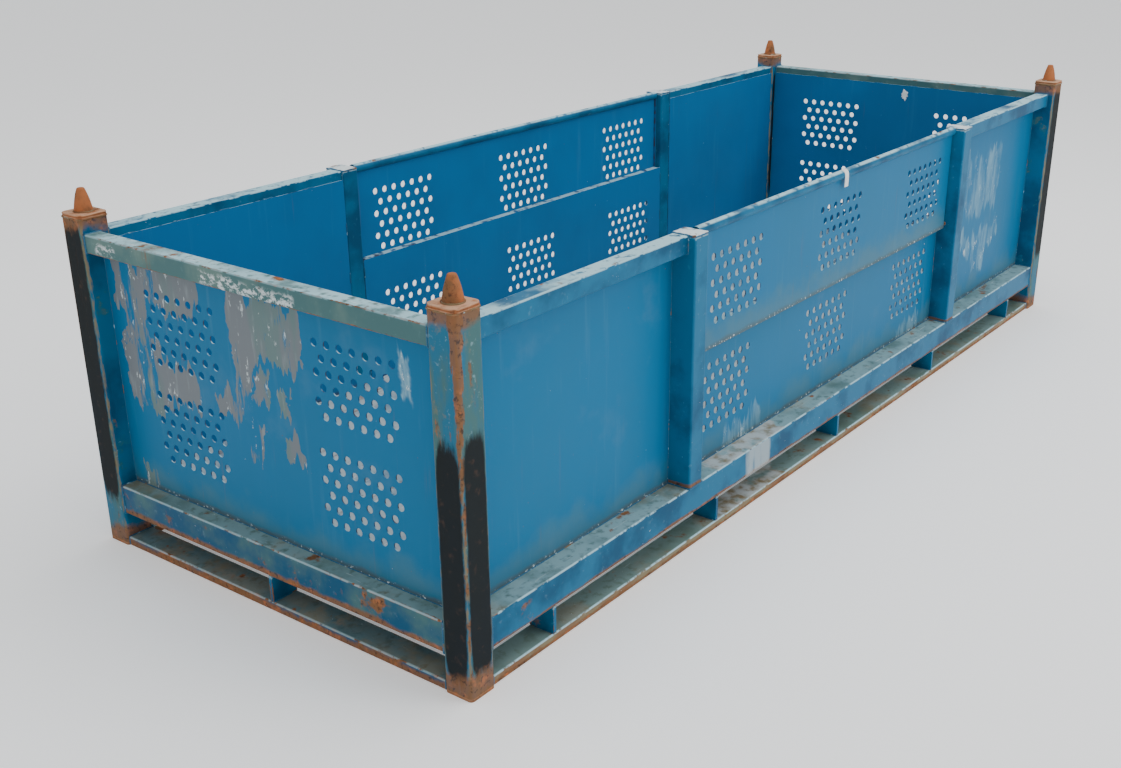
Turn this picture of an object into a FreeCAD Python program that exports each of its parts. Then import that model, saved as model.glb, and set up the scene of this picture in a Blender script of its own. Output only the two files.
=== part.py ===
"""Stacking container of welded sheet steel with two drop gates.

The container stands on +Z up, with its length along X and its width along Y. The origin is the middle of
its footprint, at floor level. Front is -Y, back is +Y, left is -X and right is +X. All sizes are in
millimetres and live in the Dimensions sheet.

Each wall has a frame of its own for the pieces that it carries: x runs along the wall, y points inward and
z points up. A setback is measured inward from the outer faces of the corner posts.
"""
import FreeCAD, Part
import os
import re
import Sketcher

DIMENSIONS = (
    ("overall_length", 3466, "over the corner posts"),
    ("overall_width", 1304, "over the corner posts"),
    ("stack_height", 904, "from the floor to the top of the post caps"),
    ("post_side", 80, "square corner post"),
    ("post_wall", 5, "corner post wall"),
    ("post_corner", 10, "corner post rounding"),
    ("cap_thickness", 10, "post cap plate"),
    ("cap_overhang", 2, "post cap beyond the post"),
    ("cap_corner", 16, "post cap rounding in plan"),
    ("cap_edge", 2, "post cap top edge rounding"),
    ("cone_base_radius", 23, "stacking cone at the cap"),
    ("cone_tip_radius", 9, "stacking cone at its blunt tip"),
    ("cone_height", 58, "stacking cone above the cap"),
    ("cone_seat_gap", 0.1, "radial clearance of the cone's spigot in the cap"),
    ("cone_side_radius", 220, "convex side of the stacking cone"),
    ("cone_tip_edge", 4, "rounding of the blunt tip"),
    ("foot_thickness", 8, "foot plate under the post"),
    ("socket_radius", 25, "round socket in the foot plate"),
    ("runner_height", 25, "runner along the floor"),
    ("runner_wall", 4, "runner wall"),
    ("runner_corner", 3, "runner rounding"),
    ("fork_opening", 71, "height of the fork openings"),
    ("bottom_rail_height", 80, "bottom rail"),
    ("bottom_rail_wall", 5, "bottom rail wall"),
    ("bottom_rail_corner", 5, "bottom rail rounding"),
    ("side_base_setback", 7, "side runner and side bottom rail"),
    ("end_base_setback", 5, "end runner and end bottom rail"),
    ("spacer_thickness", 10, "spacer plate between runner and bottom rail"),
    ("spacer_inset", 223, "corner post face to the first side spacer"),
    ("spacers_per_side", 5, "spacer plates on each long side"),
    ("top_rail_side", 47, "square top rail"),
    ("top_rail_wall", 3, "top rail wall"),
    ("top_rail_corner", 4, "top rail rounding"),
    ("top_rail_drop", 47, "top of the post caps to top of the rails"),
    ("end_top_setback", 5, "end top rail"),
    ("sheet_thickness", 3, "wall sheets"),
    ("side_sheet_step", 5, "inner face of the side sheets outward of the post's inner face"),
    ("sheet_drop", 26, "top of the rails to top of the lapped sheets"),
    ("centre_bay", 1606, "clear width between the two mid-posts of a side"),
    ("mid_post_width", 60, "mid-post along the side"),
    ("mid_post_setback", 3, "outer face of the mid-post"),
    ("mid_post_wall", 4, "mid-post wall"),
    ("mid_post_corner", 6, "mid-post rounding"),
    ("mid_post_drop", 3, "top of the rails to top of the mid-post"),
    ("mid_cap_thickness", 5, "mid-post cap plate"),
    ("mid_cap_overhang", 1, "mid-post cap beyond the outer and inner faces"),
    ("gate_height", 327, "hinge axis to top of the rails"),
    ("gate_standoff", 24, "clear space between the gate sheet and the lower side sheet"),
    ("gate_below_hinge", 15, "gate sheet below the hinge axis"),
    ("gate_end_gap", 6, "gate end to mid-post"),
    ("gate_return", 8, "folded end of the gate sheet"),
    ("gate_tube_radius", 13.5, "round tube along the top of the gate"),
    ("gate_tube_wall", 2.5, "gate tube wall"),
    ("gate_tube_proud", 5, "top of the gate tube above the rails"),
    ("pin_radius", 6, "gate hinge pin"),
    ("pin_clearance", 0.08, "radial clearance of the pin in the mid-post"),
    ("pin_reach", 5, "pin beyond the inner face of the mid-post wall"),
    ("lower_sheet_lap", 43, "top of the lower side sheet above the hinge axis"),
    ("ledge_gap", 1.5, "ledge edge to gate sheet"),
    ("ledge_end_gap", 3, "ledge end to the folded end of the gate"),
    ("hole_radius", 10, "punched hole"),
    ("hole_pitch", 40, "hole spacing along a row"),
    ("row_pitch", 35, "spacing of the rows"),
    ("holes_in_row", 7, "holes in a long row"),
    ("row_pairs", 3, "long and short rows in a patch"),
    ("side_patches", 3, "patches along a gate or lower sheet"),
    ("side_patch_margin", 87, "gate end to the nearest hole centre"),
    ("gate_patch_rise", 2, "gate patches above the middle of the sheet"),
    ("lower_patch_drop", 14, "lower patches below the middle of the sheet"),
    ("end_patches", 2, "patches along an end sheet"),
    ("end_tiers", 2, "tiers of patches in an end sheet"),
    ("end_patch_margin", 154.5, "corner post to the nearest hole centre"),
    ("end_tier_pitch", 266, "height between the tiers of patches"),
    ("floor_thickness", 4, "floor sheet"),
    ("cross_member_width", 60, "cross member under the floor"),
    ("cross_member_wall", 4, "cross member wall"),
)
SIZES = {word: value for word, value, note in DIMENSIONS}

# Heights and setbacks that several pieces share, each written once from the Dimensions words.
BASE_HEIGHT = "(runner_height + fork_opening)"
FLOOR_LINE = f"({BASE_HEIGHT} + bottom_rail_height)"
RAIL_TOP = "(stack_height - top_rail_drop)"
SHEET_TOP = f"({RAIL_TOP} - sheet_drop)"
HINGE_LINE = f"({RAIL_TOP} - gate_height)"
LOWER_SHEET_TOP = f"({HINGE_LINE} + lower_sheet_lap)"
GATE_BOTTOM = f"({HINGE_LINE} - gate_below_hinge)"
TUBE_LINE = f"({RAIL_TOP} + gate_tube_proud - gate_tube_radius)"
MID_POST_TOP = f"({RAIL_TOP} - mid_post_drop)"
SIDE_SHEET_INNER = "(post_side - side_sheet_step)"
SIDE_SHEET_MIDDLE = f"({SIDE_SHEET_INNER} - sheet_thickness / 2)"
SIDE_RAIL_INNER = f"({SIDE_SHEET_INNER} - sheet_thickness)"
END_RAIL_INNER = "(end_top_setback + top_rail_side)"
END_SHEET_INNER = f"({END_RAIL_INNER} + sheet_thickness)"
GATE_PLANE = f"({SIDE_RAIL_INNER} - gate_standoff - sheet_thickness / 2)"
MID_POST_DEPTH = f"({SIDE_SHEET_INNER} - mid_post_setback)"
MID_POST_LINE = "(centre_bay / 2 + mid_post_width / 2)"
MID_POST_OUTER = "(centre_bay / 2 + mid_post_width)"
SIDE_SPAN = "(overall_length - 2 * post_side)"
END_SPAN = "(overall_width - 2 * post_side)"
BAY_SPAN = f"({SIDE_SPAN} / 2 - {MID_POST_OUTER})"
BAY_LINE = f"({MID_POST_OUTER} + {BAY_SPAN} / 2)"
GATE_SPAN = "(centre_bay - 2 * gate_end_gap)"
ROW_SPAN = "((holes_in_row - 1) * hole_pitch)"
PATCH_HEIGHT = "((2 * row_pairs - 1) * row_pitch)"
SPACER_PITCH = f"(({SIDE_SPAN} - 2 * spacer_inset) / (spacers_per_side - 1))"

# Walls: direction along the wall, outward direction, half of the container across it, and turn about Z.
WALLS = {
    "front": ((1, 0), (0, -1), "overall_width / 2", 0),
    "right": ((0, 1), (1, 0), "overall_length / 2", 90),
    "back": ((-1, 0), (0, 1), "overall_width / 2", 180),
    "left": ((0, -1), (-1, 0), "overall_length / 2", 270),
}
SIDES = ("front", "back")
ENDS = ("left", "right")
CORNERS = tuple((side, end) for side in SIDES for end in ENDS)
UP = FreeCAD.Vector(0, 0, 1)
AXES = {"X": FreeCAD.Vector(1, 0, 0), "Y": FreeCAD.Vector(0, 1, 0), "Z": UP}
CROSS_PLANE = {"X": "YZ_Plane", "Y": "XZ_Plane", "Z": "XY_Plane"}
NEAR = 1e-6

doc = FreeCAD.newDocument("StackingContainer")
pieces = []


def cells(text):
    """Point each dimension word of an expression at its cell."""
    def address(word):
        return f"Dimensions.{word[0]}" if word[0] in SIZES else word[0]

    return re.sub(r"[a-z_]+", address, text)


def bind(item, **expressions):
    """Bind properties of an object; a double underscore stands for a dot in the property's name."""
    for name, text in expressions.items():
        item.setExpression(name.replace("__", "."), cells(text))


def fill_sheet():
    """Write the driving dimensions, one to a row."""
    sheet = doc.addObject("Spreadsheet::Sheet", "Dimensions")
    for row, (word, value, note) in enumerate(DIMENSIONS, start=1):
        sheet.set(f"A{row}", word)
        sheet.set(f"B{row}", str(value))
        sheet.setAlias(f"B{row}", word)
        sheet.set(f"C{row}", note)
    doc.recompute()


# ---- Features ----

def new_body(label):
    """Start a piece; its Label is the name of its file."""
    body = doc.addObject("PartDesign::Body", label)
    body.Label = label
    pieces.append(body)
    return body


def origin_item(body, role):
    return next(item for item in body.Origin.OriginFeatures if item.Role == role)


def new_sketch(body, plane, x="0", y="0", lift="0"):
    """Attach a sketch to an origin plane of the body, moved within the plane and lifted off it."""
    sketch = body.newObject("Sketcher::SketchObject", "Sketch")
    sketch.AttachmentSupport = (origin_item(body, plane), [""])
    sketch.MapMode = "FlatFace"
    bind(sketch, AttachmentOffset__Base__x=x, AttachmentOffset__Base__y=y, AttachmentOffset__Base__z=lift)
    return sketch


def draw_rectangle(sketch, width, height):
    """Draw a rectangle about the sketch's origin; it starts as a small square that its sizes then stretch."""
    first = sketch.GeometryCount
    half = 1
    turns = ((-half, -half), (half, -half), (half, half), (-half, half))
    corners = [FreeCAD.Vector(x, y, 0) for x, y in turns]
    sides = range(first, first + 4)
    for start, end in zip(corners, corners[1:] + corners[:1]):
        sketch.addGeometry(Part.LineSegment(start, end))
    for side in sides:
        following = first + (side - first + 1) % 4
        sketch.addConstraint(Sketcher.Constraint("Coincident", side, 2, following, 1))
    for side in (first, first + 2):
        sketch.addConstraint(Sketcher.Constraint("Horizontal", side))
    for side in (first + 1, first + 3):
        sketch.addConstraint(Sketcher.Constraint("Vertical", side))
    sketch.addConstraint(Sketcher.Constraint("Symmetric", first, 1, first + 2, 1, -1, 1))
    across = sketch.addConstraint(Sketcher.Constraint("DistanceX", first, 1, first, 2, 2 * half))
    upright = sketch.addConstraint(Sketcher.Constraint("DistanceY", first + 1, 1, first + 1, 2, 2 * half))
    sketch.setExpression(f"Constraints[{across}]", cells(width))
    sketch.setExpression(f"Constraints[{upright}]", cells(height))


def draw_circle(sketch, radius):
    """Draw a circle about the sketch's origin; it starts small and its size then stretches it."""
    start = 1
    circle = sketch.addGeometry(Part.Circle(FreeCAD.Vector(), UP, start))
    sketch.addConstraint(Sketcher.Constraint("Coincident", circle, 3, -1, 1))
    size = sketch.addConstraint(Sketcher.Constraint("Radius", circle, start))
    sketch.setExpression(f"Constraints[{size}]", cells(radius))


def pad(body, sketch, length, symmetric=True, reverse=False):
    feature = body.newObject("PartDesign::Pad", "Pad")
    feature.Profile = sketch
    feature.SideType = "Symmetric" if symmetric else "One side"
    feature.Reversed = reverse
    bind(feature, Length=length)
    return feature


def cut_through(body, sketch, one_way=None):
    """Cut the sketch right through the piece, or only to one side of the sketch's plane."""
    before = volume_of(body)
    feature = body.newObject("PartDesign::Pocket", "Pocket")
    feature.Profile = sketch
    feature.Type = "ThroughAll"
    feature.SideType = "Symmetric" if one_way is None else "One side"
    feature.Reversed = one_way == "along the normal"
    if not volume_of(body) < before:
        raise RuntimeError(f"{body.Label}: a cut removed nothing")
    return feature


def volume_of(body):
    doc.recompute()
    return body.Shape.Volume


def pattern(body, feature, *runs):
    """Repeat a feature over one or more straight runs, each (axis, span, count)."""
    multiple = body.newObject("PartDesign::MultiTransform", "Pattern")
    multiple.Originals = [feature]
    steps = []
    for axis, span, count in runs:
        step = doc.addObject("PartDesign::LinearPattern", "Run")
        step.Direction = (origin_item(body, axis + "_Axis"), [""])
        bind(step, Length=span, Occurrences=count)
        steps.append(step)
    multiple.Transformations = steps
    body.Tip = multiple
    doc.recompute()
    return multiple


def edges_along(shape, axis):
    """Name the outermost straight edges that run along an axis."""
    box = shape.BoundBox
    names = []
    for number, edge in enumerate(shape.Edges, start=1):
        if not isinstance(edge.Curve, (Part.Line, Part.LineSegment)):
            continue
        start, end = (vertex.Point for vertex in edge.Vertexes)
        if (end - start).cross(AXES[axis]).Length > NEAR:
            continue
        offsets = {
            "X": min(start.x - box.XMin, box.XMax - start.x),
            "Y": min(start.y - box.YMin, box.YMax - start.y),
            "Z": min(start.z - box.ZMin, box.ZMax - start.z),
        }
        if all(abs(offsets[other]) < NEAR for other in AXES if other != axis):
            names.append(f"Edge{number}")
    return names


def round_edges(body, base, names, radius):
    if not names:
        raise RuntimeError(f"{body.Label}: no edges to round")
    feature = body.newObject("PartDesign::Fillet", "Fillet")
    feature.Base = (base, names)
    bind(feature, Radius=radius)
    return feature


def round_along(body, base, axis, radius):
    """Round the four outer edges that run along an axis."""
    doc.recompute()
    return round_edges(body, base, edges_along(base.Shape, axis), radius)


def round_top(body, base, radius):
    """Round the rim of the flat top face."""
    doc.recompute()
    top = base.Shape.BoundBox.ZMax
    names = [
        f"Edge{number}"
        for number, edge in enumerate(base.Shape.Edges, start=1)
        if all(abs(vertex.Z - top) < NEAR for vertex in edge.Vertexes)
    ]
    return round_edges(body, base, names, radius)


# ---- Places ----

def stand_on_wall(body, wall, along, setback, height):
    """Put a piece on a wall, turned to face outward there."""
    (along_x, along_y), (out_x, out_y), half, turn = WALLS[wall]
    body.Placement = FreeCAD.Placement(FreeCAD.Vector(), FreeCAD.Rotation(UP, turn))
    outward = f"({half} - {setback})"
    bind(
        body,
        Placement__Base__x=f"{along_x} * ({along}) + {out_x} * {outward}",
        Placement__Base__y=f"{along_y} * ({along}) + {out_y} * {outward}",
        Placement__Base__z=height,
    )


def stand_at_corner(body, side, end, height):
    """Put a piece on the axis of a corner post."""
    out_x = WALLS[end][1][0]
    out_y = WALLS[side][1][1]
    bind(
        body,
        Placement__Base__x=f"{out_x} * (overall_length - post_side) / 2",
        Placement__Base__y=f"{out_y} * (overall_width - post_side) / 2",
        Placement__Base__z=height,
    )


def end_word(side, sign):
    """Say which end of the container one half of a side wall is."""
    return "right" if sign * WALLS[side][0][0] > 0 else "left"


# ---- Sections and sheets ----

def hollow_bar(label, axis, width, height, wall, corner, length):
    """Make a rectangular tube about its own middle; width and height are its sketch's x and y."""
    body = new_body(label)
    sketch = new_sketch(body, CROSS_PLANE[axis])
    draw_rectangle(sketch, width, height)
    draw_rectangle(sketch, f"{width} - 2 * {wall}", f"{height} - 2 * {wall}")
    tube = pad(body, sketch, length)
    round_along(body, tube, axis, corner)
    return body


def flat_sheet(label, length, height):
    """Make an upright sheet about its own middle, along X."""
    body = new_body(label)
    sketch = new_sketch(body, "XZ_Plane")
    draw_rectangle(sketch, length, height)
    pad(body, sketch, "sheet_thickness")
    return body


def punch_patches(body, middle, half_spread, patches, tiers, tier_pitch):
    """Punch patches of staggered holes: long and short rows take turns, long row at the top."""
    spread = f"2 * {half_spread}"
    top = f"{middle} + (({tiers} - 1) * {tier_pitch} + {PATCH_HEIGHT}) / 2"
    rows = (
        (top, ROW_SPAN, "holes_in_row"),
        (f"{top} - row_pitch", f"({ROW_SPAN} - hole_pitch)", "holes_in_row - 1"),
    )
    for row_top, row_span, count in rows:
        lowest = f"{row_top} - ({tiers} - 1) * {tier_pitch} - 2 * (row_pairs - 1) * row_pitch"
        sketch = new_sketch(body, "XZ_Plane", x=f"-{half_spread} - {row_span} / 2", y=lowest)
        draw_circle(sketch, "hole_radius")
        hole = cut_through(body, sketch)
        runs = [
            ("X", row_span, count),
            ("Z", "2 * (row_pairs - 1) * row_pitch", "row_pairs"),
            ("X", spread, patches),
        ]
        if tiers != "1":
            runs.append(("Z", f"({tiers} - 1) * {tier_pitch}", tiers))
        pattern(body, hole, *runs)


# ---- Corner posts ----

def build_corner(side, end):
    """A hollow post on a foot plate with a round socket, closed by a cap that holds a cone."""
    place = f"{side}_{end}"
    post_height = "(stack_height - cap_thickness - foot_thickness)"
    post = hollow_bar(
        f"corner_post_{place}", "Z", "post_side", "post_side", "post_wall", "post_corner", post_height)
    stand_at_corner(post, side, end, f"foot_thickness + {post_height} / 2")

    foot = new_body(f"foot_plate_{place}")
    outline = new_sketch(foot, "XY_Plane")
    draw_rectangle(outline, "post_side", "post_side")
    draw_circle(outline, "socket_radius")
    plate = pad(foot, outline, "foot_thickness", symmetric=False)
    round_along(foot, plate, "Z", "post_corner")
    stand_at_corner(foot, side, end, "0")

    cap = new_body(f"post_cap_{place}")
    outline = new_sketch(cap, "XY_Plane")
    draw_rectangle(outline, "post_side + 2 * cap_overhang", "post_side + 2 * cap_overhang")
    plate = pad(cap, outline, "cap_thickness", symmetric=False)
    rounded = round_along(cap, plate, "Z", "cap_corner")
    round_top(cap, rounded, "cap_edge")
    seat = new_sketch(cap, "XY_Plane")
    draw_circle(seat, "cone_base_radius + cone_seat_gap")
    cut_through(cap, seat)
    stand_at_corner(cap, side, end, "stack_height - cap_thickness")

    build_cone(f"stacking_cone_{place}", side, end)


def build_cone(label, side, end):
    """A blunt cone with slightly convex sides, on a spigot that fills the hole in the cap."""
    body = new_body(label)
    sketch = new_sketch(body, "XZ_Plane")
    base_radius = SIZES["cone_base_radius"]
    tip_radius = SIZES["cone_tip_radius"]
    seat = SIZES["cap_thickness"]
    top = seat + SIZES["cone_height"]
    middle = FreeCAD.Vector()
    spigot_point = FreeCAD.Vector(base_radius, 0, 0)
    foot_point = FreeCAD.Vector(base_radius, seat, 0)
    waist_point = FreeCAD.Vector((2 * base_radius + tip_radius) / 3, (seat + top) / 2, 0)
    tip_point = FreeCAD.Vector(tip_radius, top, 0)
    crown = FreeCAD.Vector(0, top, 0)
    base = sketch.addGeometry(Part.LineSegment(middle, spigot_point))
    spigot = sketch.addGeometry(Part.LineSegment(spigot_point, foot_point))
    side_arc = sketch.addGeometry(Part.Arc(foot_point, waist_point, tip_point))
    tip = sketch.addGeometry(Part.LineSegment(tip_point, crown))
    core = sketch.addGeometry(Part.LineSegment(crown, middle))
    foot_end = min((1, 2), key=lambda arc_end: sketch.getPoint(side_arc, arc_end).y)
    sketch.addConstraint([
        Sketcher.Constraint("Coincident", base, 1, -1, 1),
        Sketcher.Constraint("Coincident", base, 2, spigot, 1),
        Sketcher.Constraint("Coincident", spigot, 2, side_arc, foot_end),
        Sketcher.Constraint("Coincident", side_arc, 3 - foot_end, tip, 1),
        Sketcher.Constraint("Coincident", tip, 2, core, 1),
        Sketcher.Constraint("Coincident", core, 2, -1, 1),
        Sketcher.Constraint("Horizontal", base),
        Sketcher.Constraint("Vertical", spigot),
        Sketcher.Constraint("Horizontal", tip),
        Sketcher.Constraint("Vertical", core),
    ])
    sizes = (
        (Sketcher.Constraint("DistanceX", base, 1, base, 2, base_radius), "cone_base_radius"),
        (Sketcher.Constraint("DistanceY", spigot, 1, spigot, 2, seat), "cap_thickness"),
        (Sketcher.Constraint("DistanceX", tip, 2, tip, 1, tip_radius), "cone_tip_radius"),
        (Sketcher.Constraint("DistanceY", core, 2, core, 1, top), "cap_thickness + cone_height"),
        (Sketcher.Constraint("Radius", side_arc, SIZES["cone_side_radius"]), "cone_side_radius"),
    )
    for constraint, size in sizes:
        number = sketch.addConstraint(constraint)
        sketch.setExpression(f"Constraints[{number}]", cells(size))
    turned = body.newObject("PartDesign::Revolution", "Revolution")
    turned.Profile = sketch
    turned.ReferenceAxis = (sketch, ["V_Axis"])
    turned.Angle = 360
    round_top(body, turned, "cone_tip_edge")
    stand_at_corner(body, side, end, "stack_height - cap_thickness")


# ---- Rails, runners and spacers ----

def build_side_frame(side):
    """Bottom rail, runner and spacer plates between the corner posts of a long side."""
    depth = "(post_side - side_base_setback)"
    line = f"(side_base_setback + {depth} / 2)"
    rail = hollow_bar(
        f"side_bottom_rail_{side}", "X", depth, "bottom_rail_height", "bottom_rail_wall",
        "bottom_rail_corner", SIDE_SPAN)
    stand_on_wall(rail, side, "0", line, f"{BASE_HEIGHT} + bottom_rail_height / 2")
    runner = hollow_bar(
        f"side_runner_{side}", "X", depth, "runner_height", "runner_wall", "runner_corner", SIDE_SPAN)
    stand_on_wall(runner, side, "0", line, "runner_height / 2")

    spacers = new_body(f"side_spacers_{side}")
    sketch = new_sketch(spacers, "XZ_Plane", x=f"spacer_inset - {SIDE_SPAN} / 2")
    draw_rectangle(sketch, "spacer_thickness", "fork_opening")
    plate = pad(spacers, sketch, depth)
    pattern(spacers, plate, ("X", f"{SPACER_PITCH} * (spacers_per_side - 1)", "spacers_per_side"))
    stand_on_wall(spacers, side, "0", line, "runner_height + fork_opening / 2")


def build_end_frame(end):
    """Bottom rail, runner, spacer plate and top rail between the corner posts of an end."""
    depth = "(post_side - end_base_setback)"
    line = f"(end_base_setback + {depth} / 2)"
    rail = hollow_bar(
        f"end_bottom_rail_{end}", "X", depth, "bottom_rail_height", "bottom_rail_wall",
        "bottom_rail_corner", END_SPAN)
    stand_on_wall(rail, end, "0", line, f"{BASE_HEIGHT} + bottom_rail_height / 2")
    runner = hollow_bar(
        f"end_runner_{end}", "X", depth, "runner_height", "runner_wall", "runner_corner", END_SPAN)
    stand_on_wall(runner, end, "0", line, "runner_height / 2")

    spacer = new_body(f"end_spacer_{end}")
    sketch = new_sketch(spacer, "XZ_Plane")
    draw_rectangle(sketch, "spacer_thickness", "fork_opening")
    pad(spacer, sketch, depth)
    stand_on_wall(spacer, end, "0", line, "runner_height + fork_opening / 2")

    top = hollow_bar(
        f"end_top_rail_{end}", "X", "top_rail_side", "top_rail_side", "top_rail_wall",
        "top_rail_corner", END_SPAN)
    stand_on_wall(
        top, end, "0", f"({END_RAIL_INNER} - top_rail_side / 2)", f"{RAIL_TOP} - top_rail_side / 2")


# ---- Walls ----

def build_end_sheet(end):
    """A sheet lapped on the inside of the end top rail, with two tiers of punched patches."""
    height = f"({SHEET_TOP} - {FLOOR_LINE})"
    sheet = flat_sheet(f"end_panel_{end}", END_SPAN, height)
    spread = f"({END_SPAN} / 2 - end_patch_margin - {ROW_SPAN} / 2)"
    punch_patches(sheet, "0", spread, "end_patches", "end_tiers", "end_tier_pitch")
    stand_on_wall(
        sheet, end, "0", f"({END_SHEET_INNER} - sheet_thickness / 2)", f"{FLOOR_LINE} + {height} / 2")


def build_end_bay(side, sign):
    """Top rail, plain sheet and mid-post between a corner post and the centre bay."""
    place = f"{side}_{end_word(side, sign)}"
    rail = hollow_bar(
        f"side_top_rail_{place}", "X", "top_rail_side", "top_rail_side", "top_rail_wall",
        "top_rail_corner", BAY_SPAN)
    stand_on_wall(
        rail, side, f"{sign} * {BAY_LINE}", f"({SIDE_RAIL_INNER} - top_rail_side / 2)",
        f"{RAIL_TOP} - top_rail_side / 2")
    height = f"({SHEET_TOP} - {FLOOR_LINE})"
    sheet = flat_sheet(f"bay_panel_{place}", BAY_SPAN, height)
    stand_on_wall(sheet, side, f"{sign} * {BAY_LINE}", SIDE_SHEET_MIDDLE, f"{FLOOR_LINE} + {height} / 2")

    post_height = f"({MID_POST_TOP} - {FLOOR_LINE})"
    post_line = f"(mid_post_setback + {MID_POST_DEPTH} / 2)"
    post = hollow_bar(
        f"mid_post_{place}", "Z", "mid_post_width", MID_POST_DEPTH, "mid_post_wall",
        "mid_post_corner", post_height)
    bore = new_sketch(
        post, "YZ_Plane", x=f"{GATE_PLANE} - {post_line}",
        y=f"{HINGE_LINE} - {FLOOR_LINE} - {post_height} / 2")
    draw_circle(bore, "pin_radius + pin_clearance")
    cut_through(post, bore, one_way="along the normal" if sign < 0 else "against the normal")
    stand_on_wall(post, side, f"{sign} * {MID_POST_LINE}", post_line, f"{FLOOR_LINE} + {post_height} / 2")

    cap = new_body(f"mid_post_cap_{place}")
    outline = new_sketch(cap, "XY_Plane")
    draw_rectangle(outline, "mid_post_width", f"{MID_POST_DEPTH} + 2 * mid_cap_overhang")
    plate = pad(cap, outline, "mid_cap_thickness", symmetric=False)
    round_along(cap, plate, "Z", "mid_post_corner")
    stand_on_wall(cap, side, f"{sign} * {MID_POST_LINE}", post_line, MID_POST_TOP)


def build_centre_bay(side):
    """The fixed lower sheet with its ledge, and the drop gate above it."""
    height = f"({LOWER_SHEET_TOP} - {FLOOR_LINE})"
    lower = flat_sheet(f"lower_side_panel_{side}", "centre_bay", height)
    spread = f"({GATE_SPAN} / 2 - side_patch_margin - {ROW_SPAN} / 2)"
    punch_patches(lower, "-lower_patch_drop", spread, "side_patches", "1", "0")
    ledge = new_sketch(lower, "XZ_Plane", y=f"{height} / 2 - sheet_thickness / 2")
    draw_rectangle(ledge, f"{GATE_SPAN} - 2 * (sheet_thickness + ledge_end_gap)", "sheet_thickness")
    pad(lower, ledge, "gate_standoff - ledge_gap + sheet_thickness / 2", symmetric=False)
    stand_on_wall(lower, side, "0", SIDE_SHEET_MIDDLE, f"{FLOOR_LINE} + {height} / 2")

    height = f"({TUBE_LINE} - {GATE_BOTTOM})"
    gate = flat_sheet(f"gate_panel_{side}", GATE_SPAN, height)
    for sign in (-1, 1):
        fold = new_sketch(gate, "XZ_Plane", x=f"{sign} * ({GATE_SPAN} - sheet_thickness) / 2")
        draw_rectangle(fold, "sheet_thickness", height)
        pad(gate, fold, "gate_return + sheet_thickness / 2", symmetric=False, reverse=True)
    seat = new_sketch(gate, "YZ_Plane", y=f"{height} / 2")
    draw_circle(seat, "gate_tube_radius")
    cut_through(gate, seat)
    spread_rise = f"(gate_patch_rise - gate_tube_radius / 2)"
    punch_patches(gate, spread_rise, spread, "side_patches", "1", "0")
    stand_on_wall(gate, side, "0", GATE_PLANE, f"{GATE_BOTTOM} + {height} / 2")

    tube = new_body(f"gate_top_tube_{side}")
    ring = new_sketch(tube, "YZ_Plane")
    draw_circle(ring, "gate_tube_radius")
    draw_circle(ring, "gate_tube_radius - gate_tube_wall")
    pad(tube, ring, GATE_SPAN)
    stand_on_wall(tube, side, "0", GATE_PLANE, TUBE_LINE)

    pins = new_body(f"gate_hinge_pins_{side}")
    length = "(gate_end_gap + mid_post_wall + pin_reach)"
    disc = new_sketch(pins, "YZ_Plane", lift=f"{GATE_SPAN} / 2")
    draw_circle(disc, "pin_radius")
    pin = pad(pins, disc, length, symmetric=False)
    mirror = pins.newObject("PartDesign::Mirrored", "Mirror")
    mirror.Originals = [pin]
    mirror.MirrorPlane = (origin_item(pins, "YZ_Plane"), [""])
    pins.Tip = mirror
    stand_on_wall(pins, side, "0", GATE_PLANE, HINGE_LINE)


# ---- Floor ----

def build_floor():
    """The floor sheet, notched around the corner posts, and the hollow members that carry it."""
    floor = new_body("floor_sheet")
    outline = new_sketch(floor, "XY_Plane")
    length = f"(overall_length - 2 * {END_SHEET_INNER})"
    width = f"(overall_width - 2 * {SIDE_SHEET_INNER})"
    draw_rectangle(outline, length, width)
    pad(floor, outline, "floor_thickness", symmetric=False)
    for side, end in CORNERS:
        out_x = WALLS[end][1][0]
        out_y = WALLS[side][1][1]
        notch = new_sketch(
            floor, "XY_Plane", x=f"{out_x} * (overall_length - post_side) / 2",
            y=f"{out_y} * (overall_width - post_side) / 2")
        draw_rectangle(notch, "post_side", "post_side")
        cut_through(floor, notch)
    bind(floor, Placement__Base__z=FLOOR_LINE)

    members = new_body("floor_cross_members")
    sketch = new_sketch(members, "XZ_Plane", x=f"spacer_inset - {SIDE_SPAN} / 2")
    draw_rectangle(sketch, "cross_member_width", "bottom_rail_height")
    draw_rectangle(
        sketch, "cross_member_width - 2 * cross_member_wall", "bottom_rail_height - 2 * cross_member_wall")
    member = pad(members, sketch, END_SPAN)
    pattern(members, member, ("X", f"{SPACER_PITCH} * (spacers_per_side - 1)", "spacers_per_side"))
    bind(members, Placement__Base__z=f"{BASE_HEIGHT} + bottom_rail_height / 2")


# ---- Checks and files ----

def check_document():
    """Stop if any object failed or a piece is not a valid solid."""
    doc.recompute()
    failed = [item.Name for item in doc.Objects if {"Invalid", "Error"} & set(item.State)]
    if failed:
        raise RuntimeError("objects that failed: " + ", ".join(failed))
    for piece in pieces:
        if piece.Shape.isNull() or not piece.Shape.isValid() or not piece.Shape.Solids:
            raise RuntimeError(f"{piece.Label}: not a valid solid")


def write_pieces():
    os.makedirs("parts", exist_ok=True)
    for piece in pieces:
        piece.Shape.exportStep(f"parts/{piece.Label}.step")


fill_sheet()
for corner in CORNERS:
    build_corner(*corner)
for long_side in SIDES:
    build_side_frame(long_side)
    for half in (-1, 1):
        build_end_bay(long_side, half)
    build_centre_bay(long_side)
for short_end in ENDS:
    build_end_frame(short_end)
    build_end_sheet(short_end)
build_floor()
check_document()
write_pieces()
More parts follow.
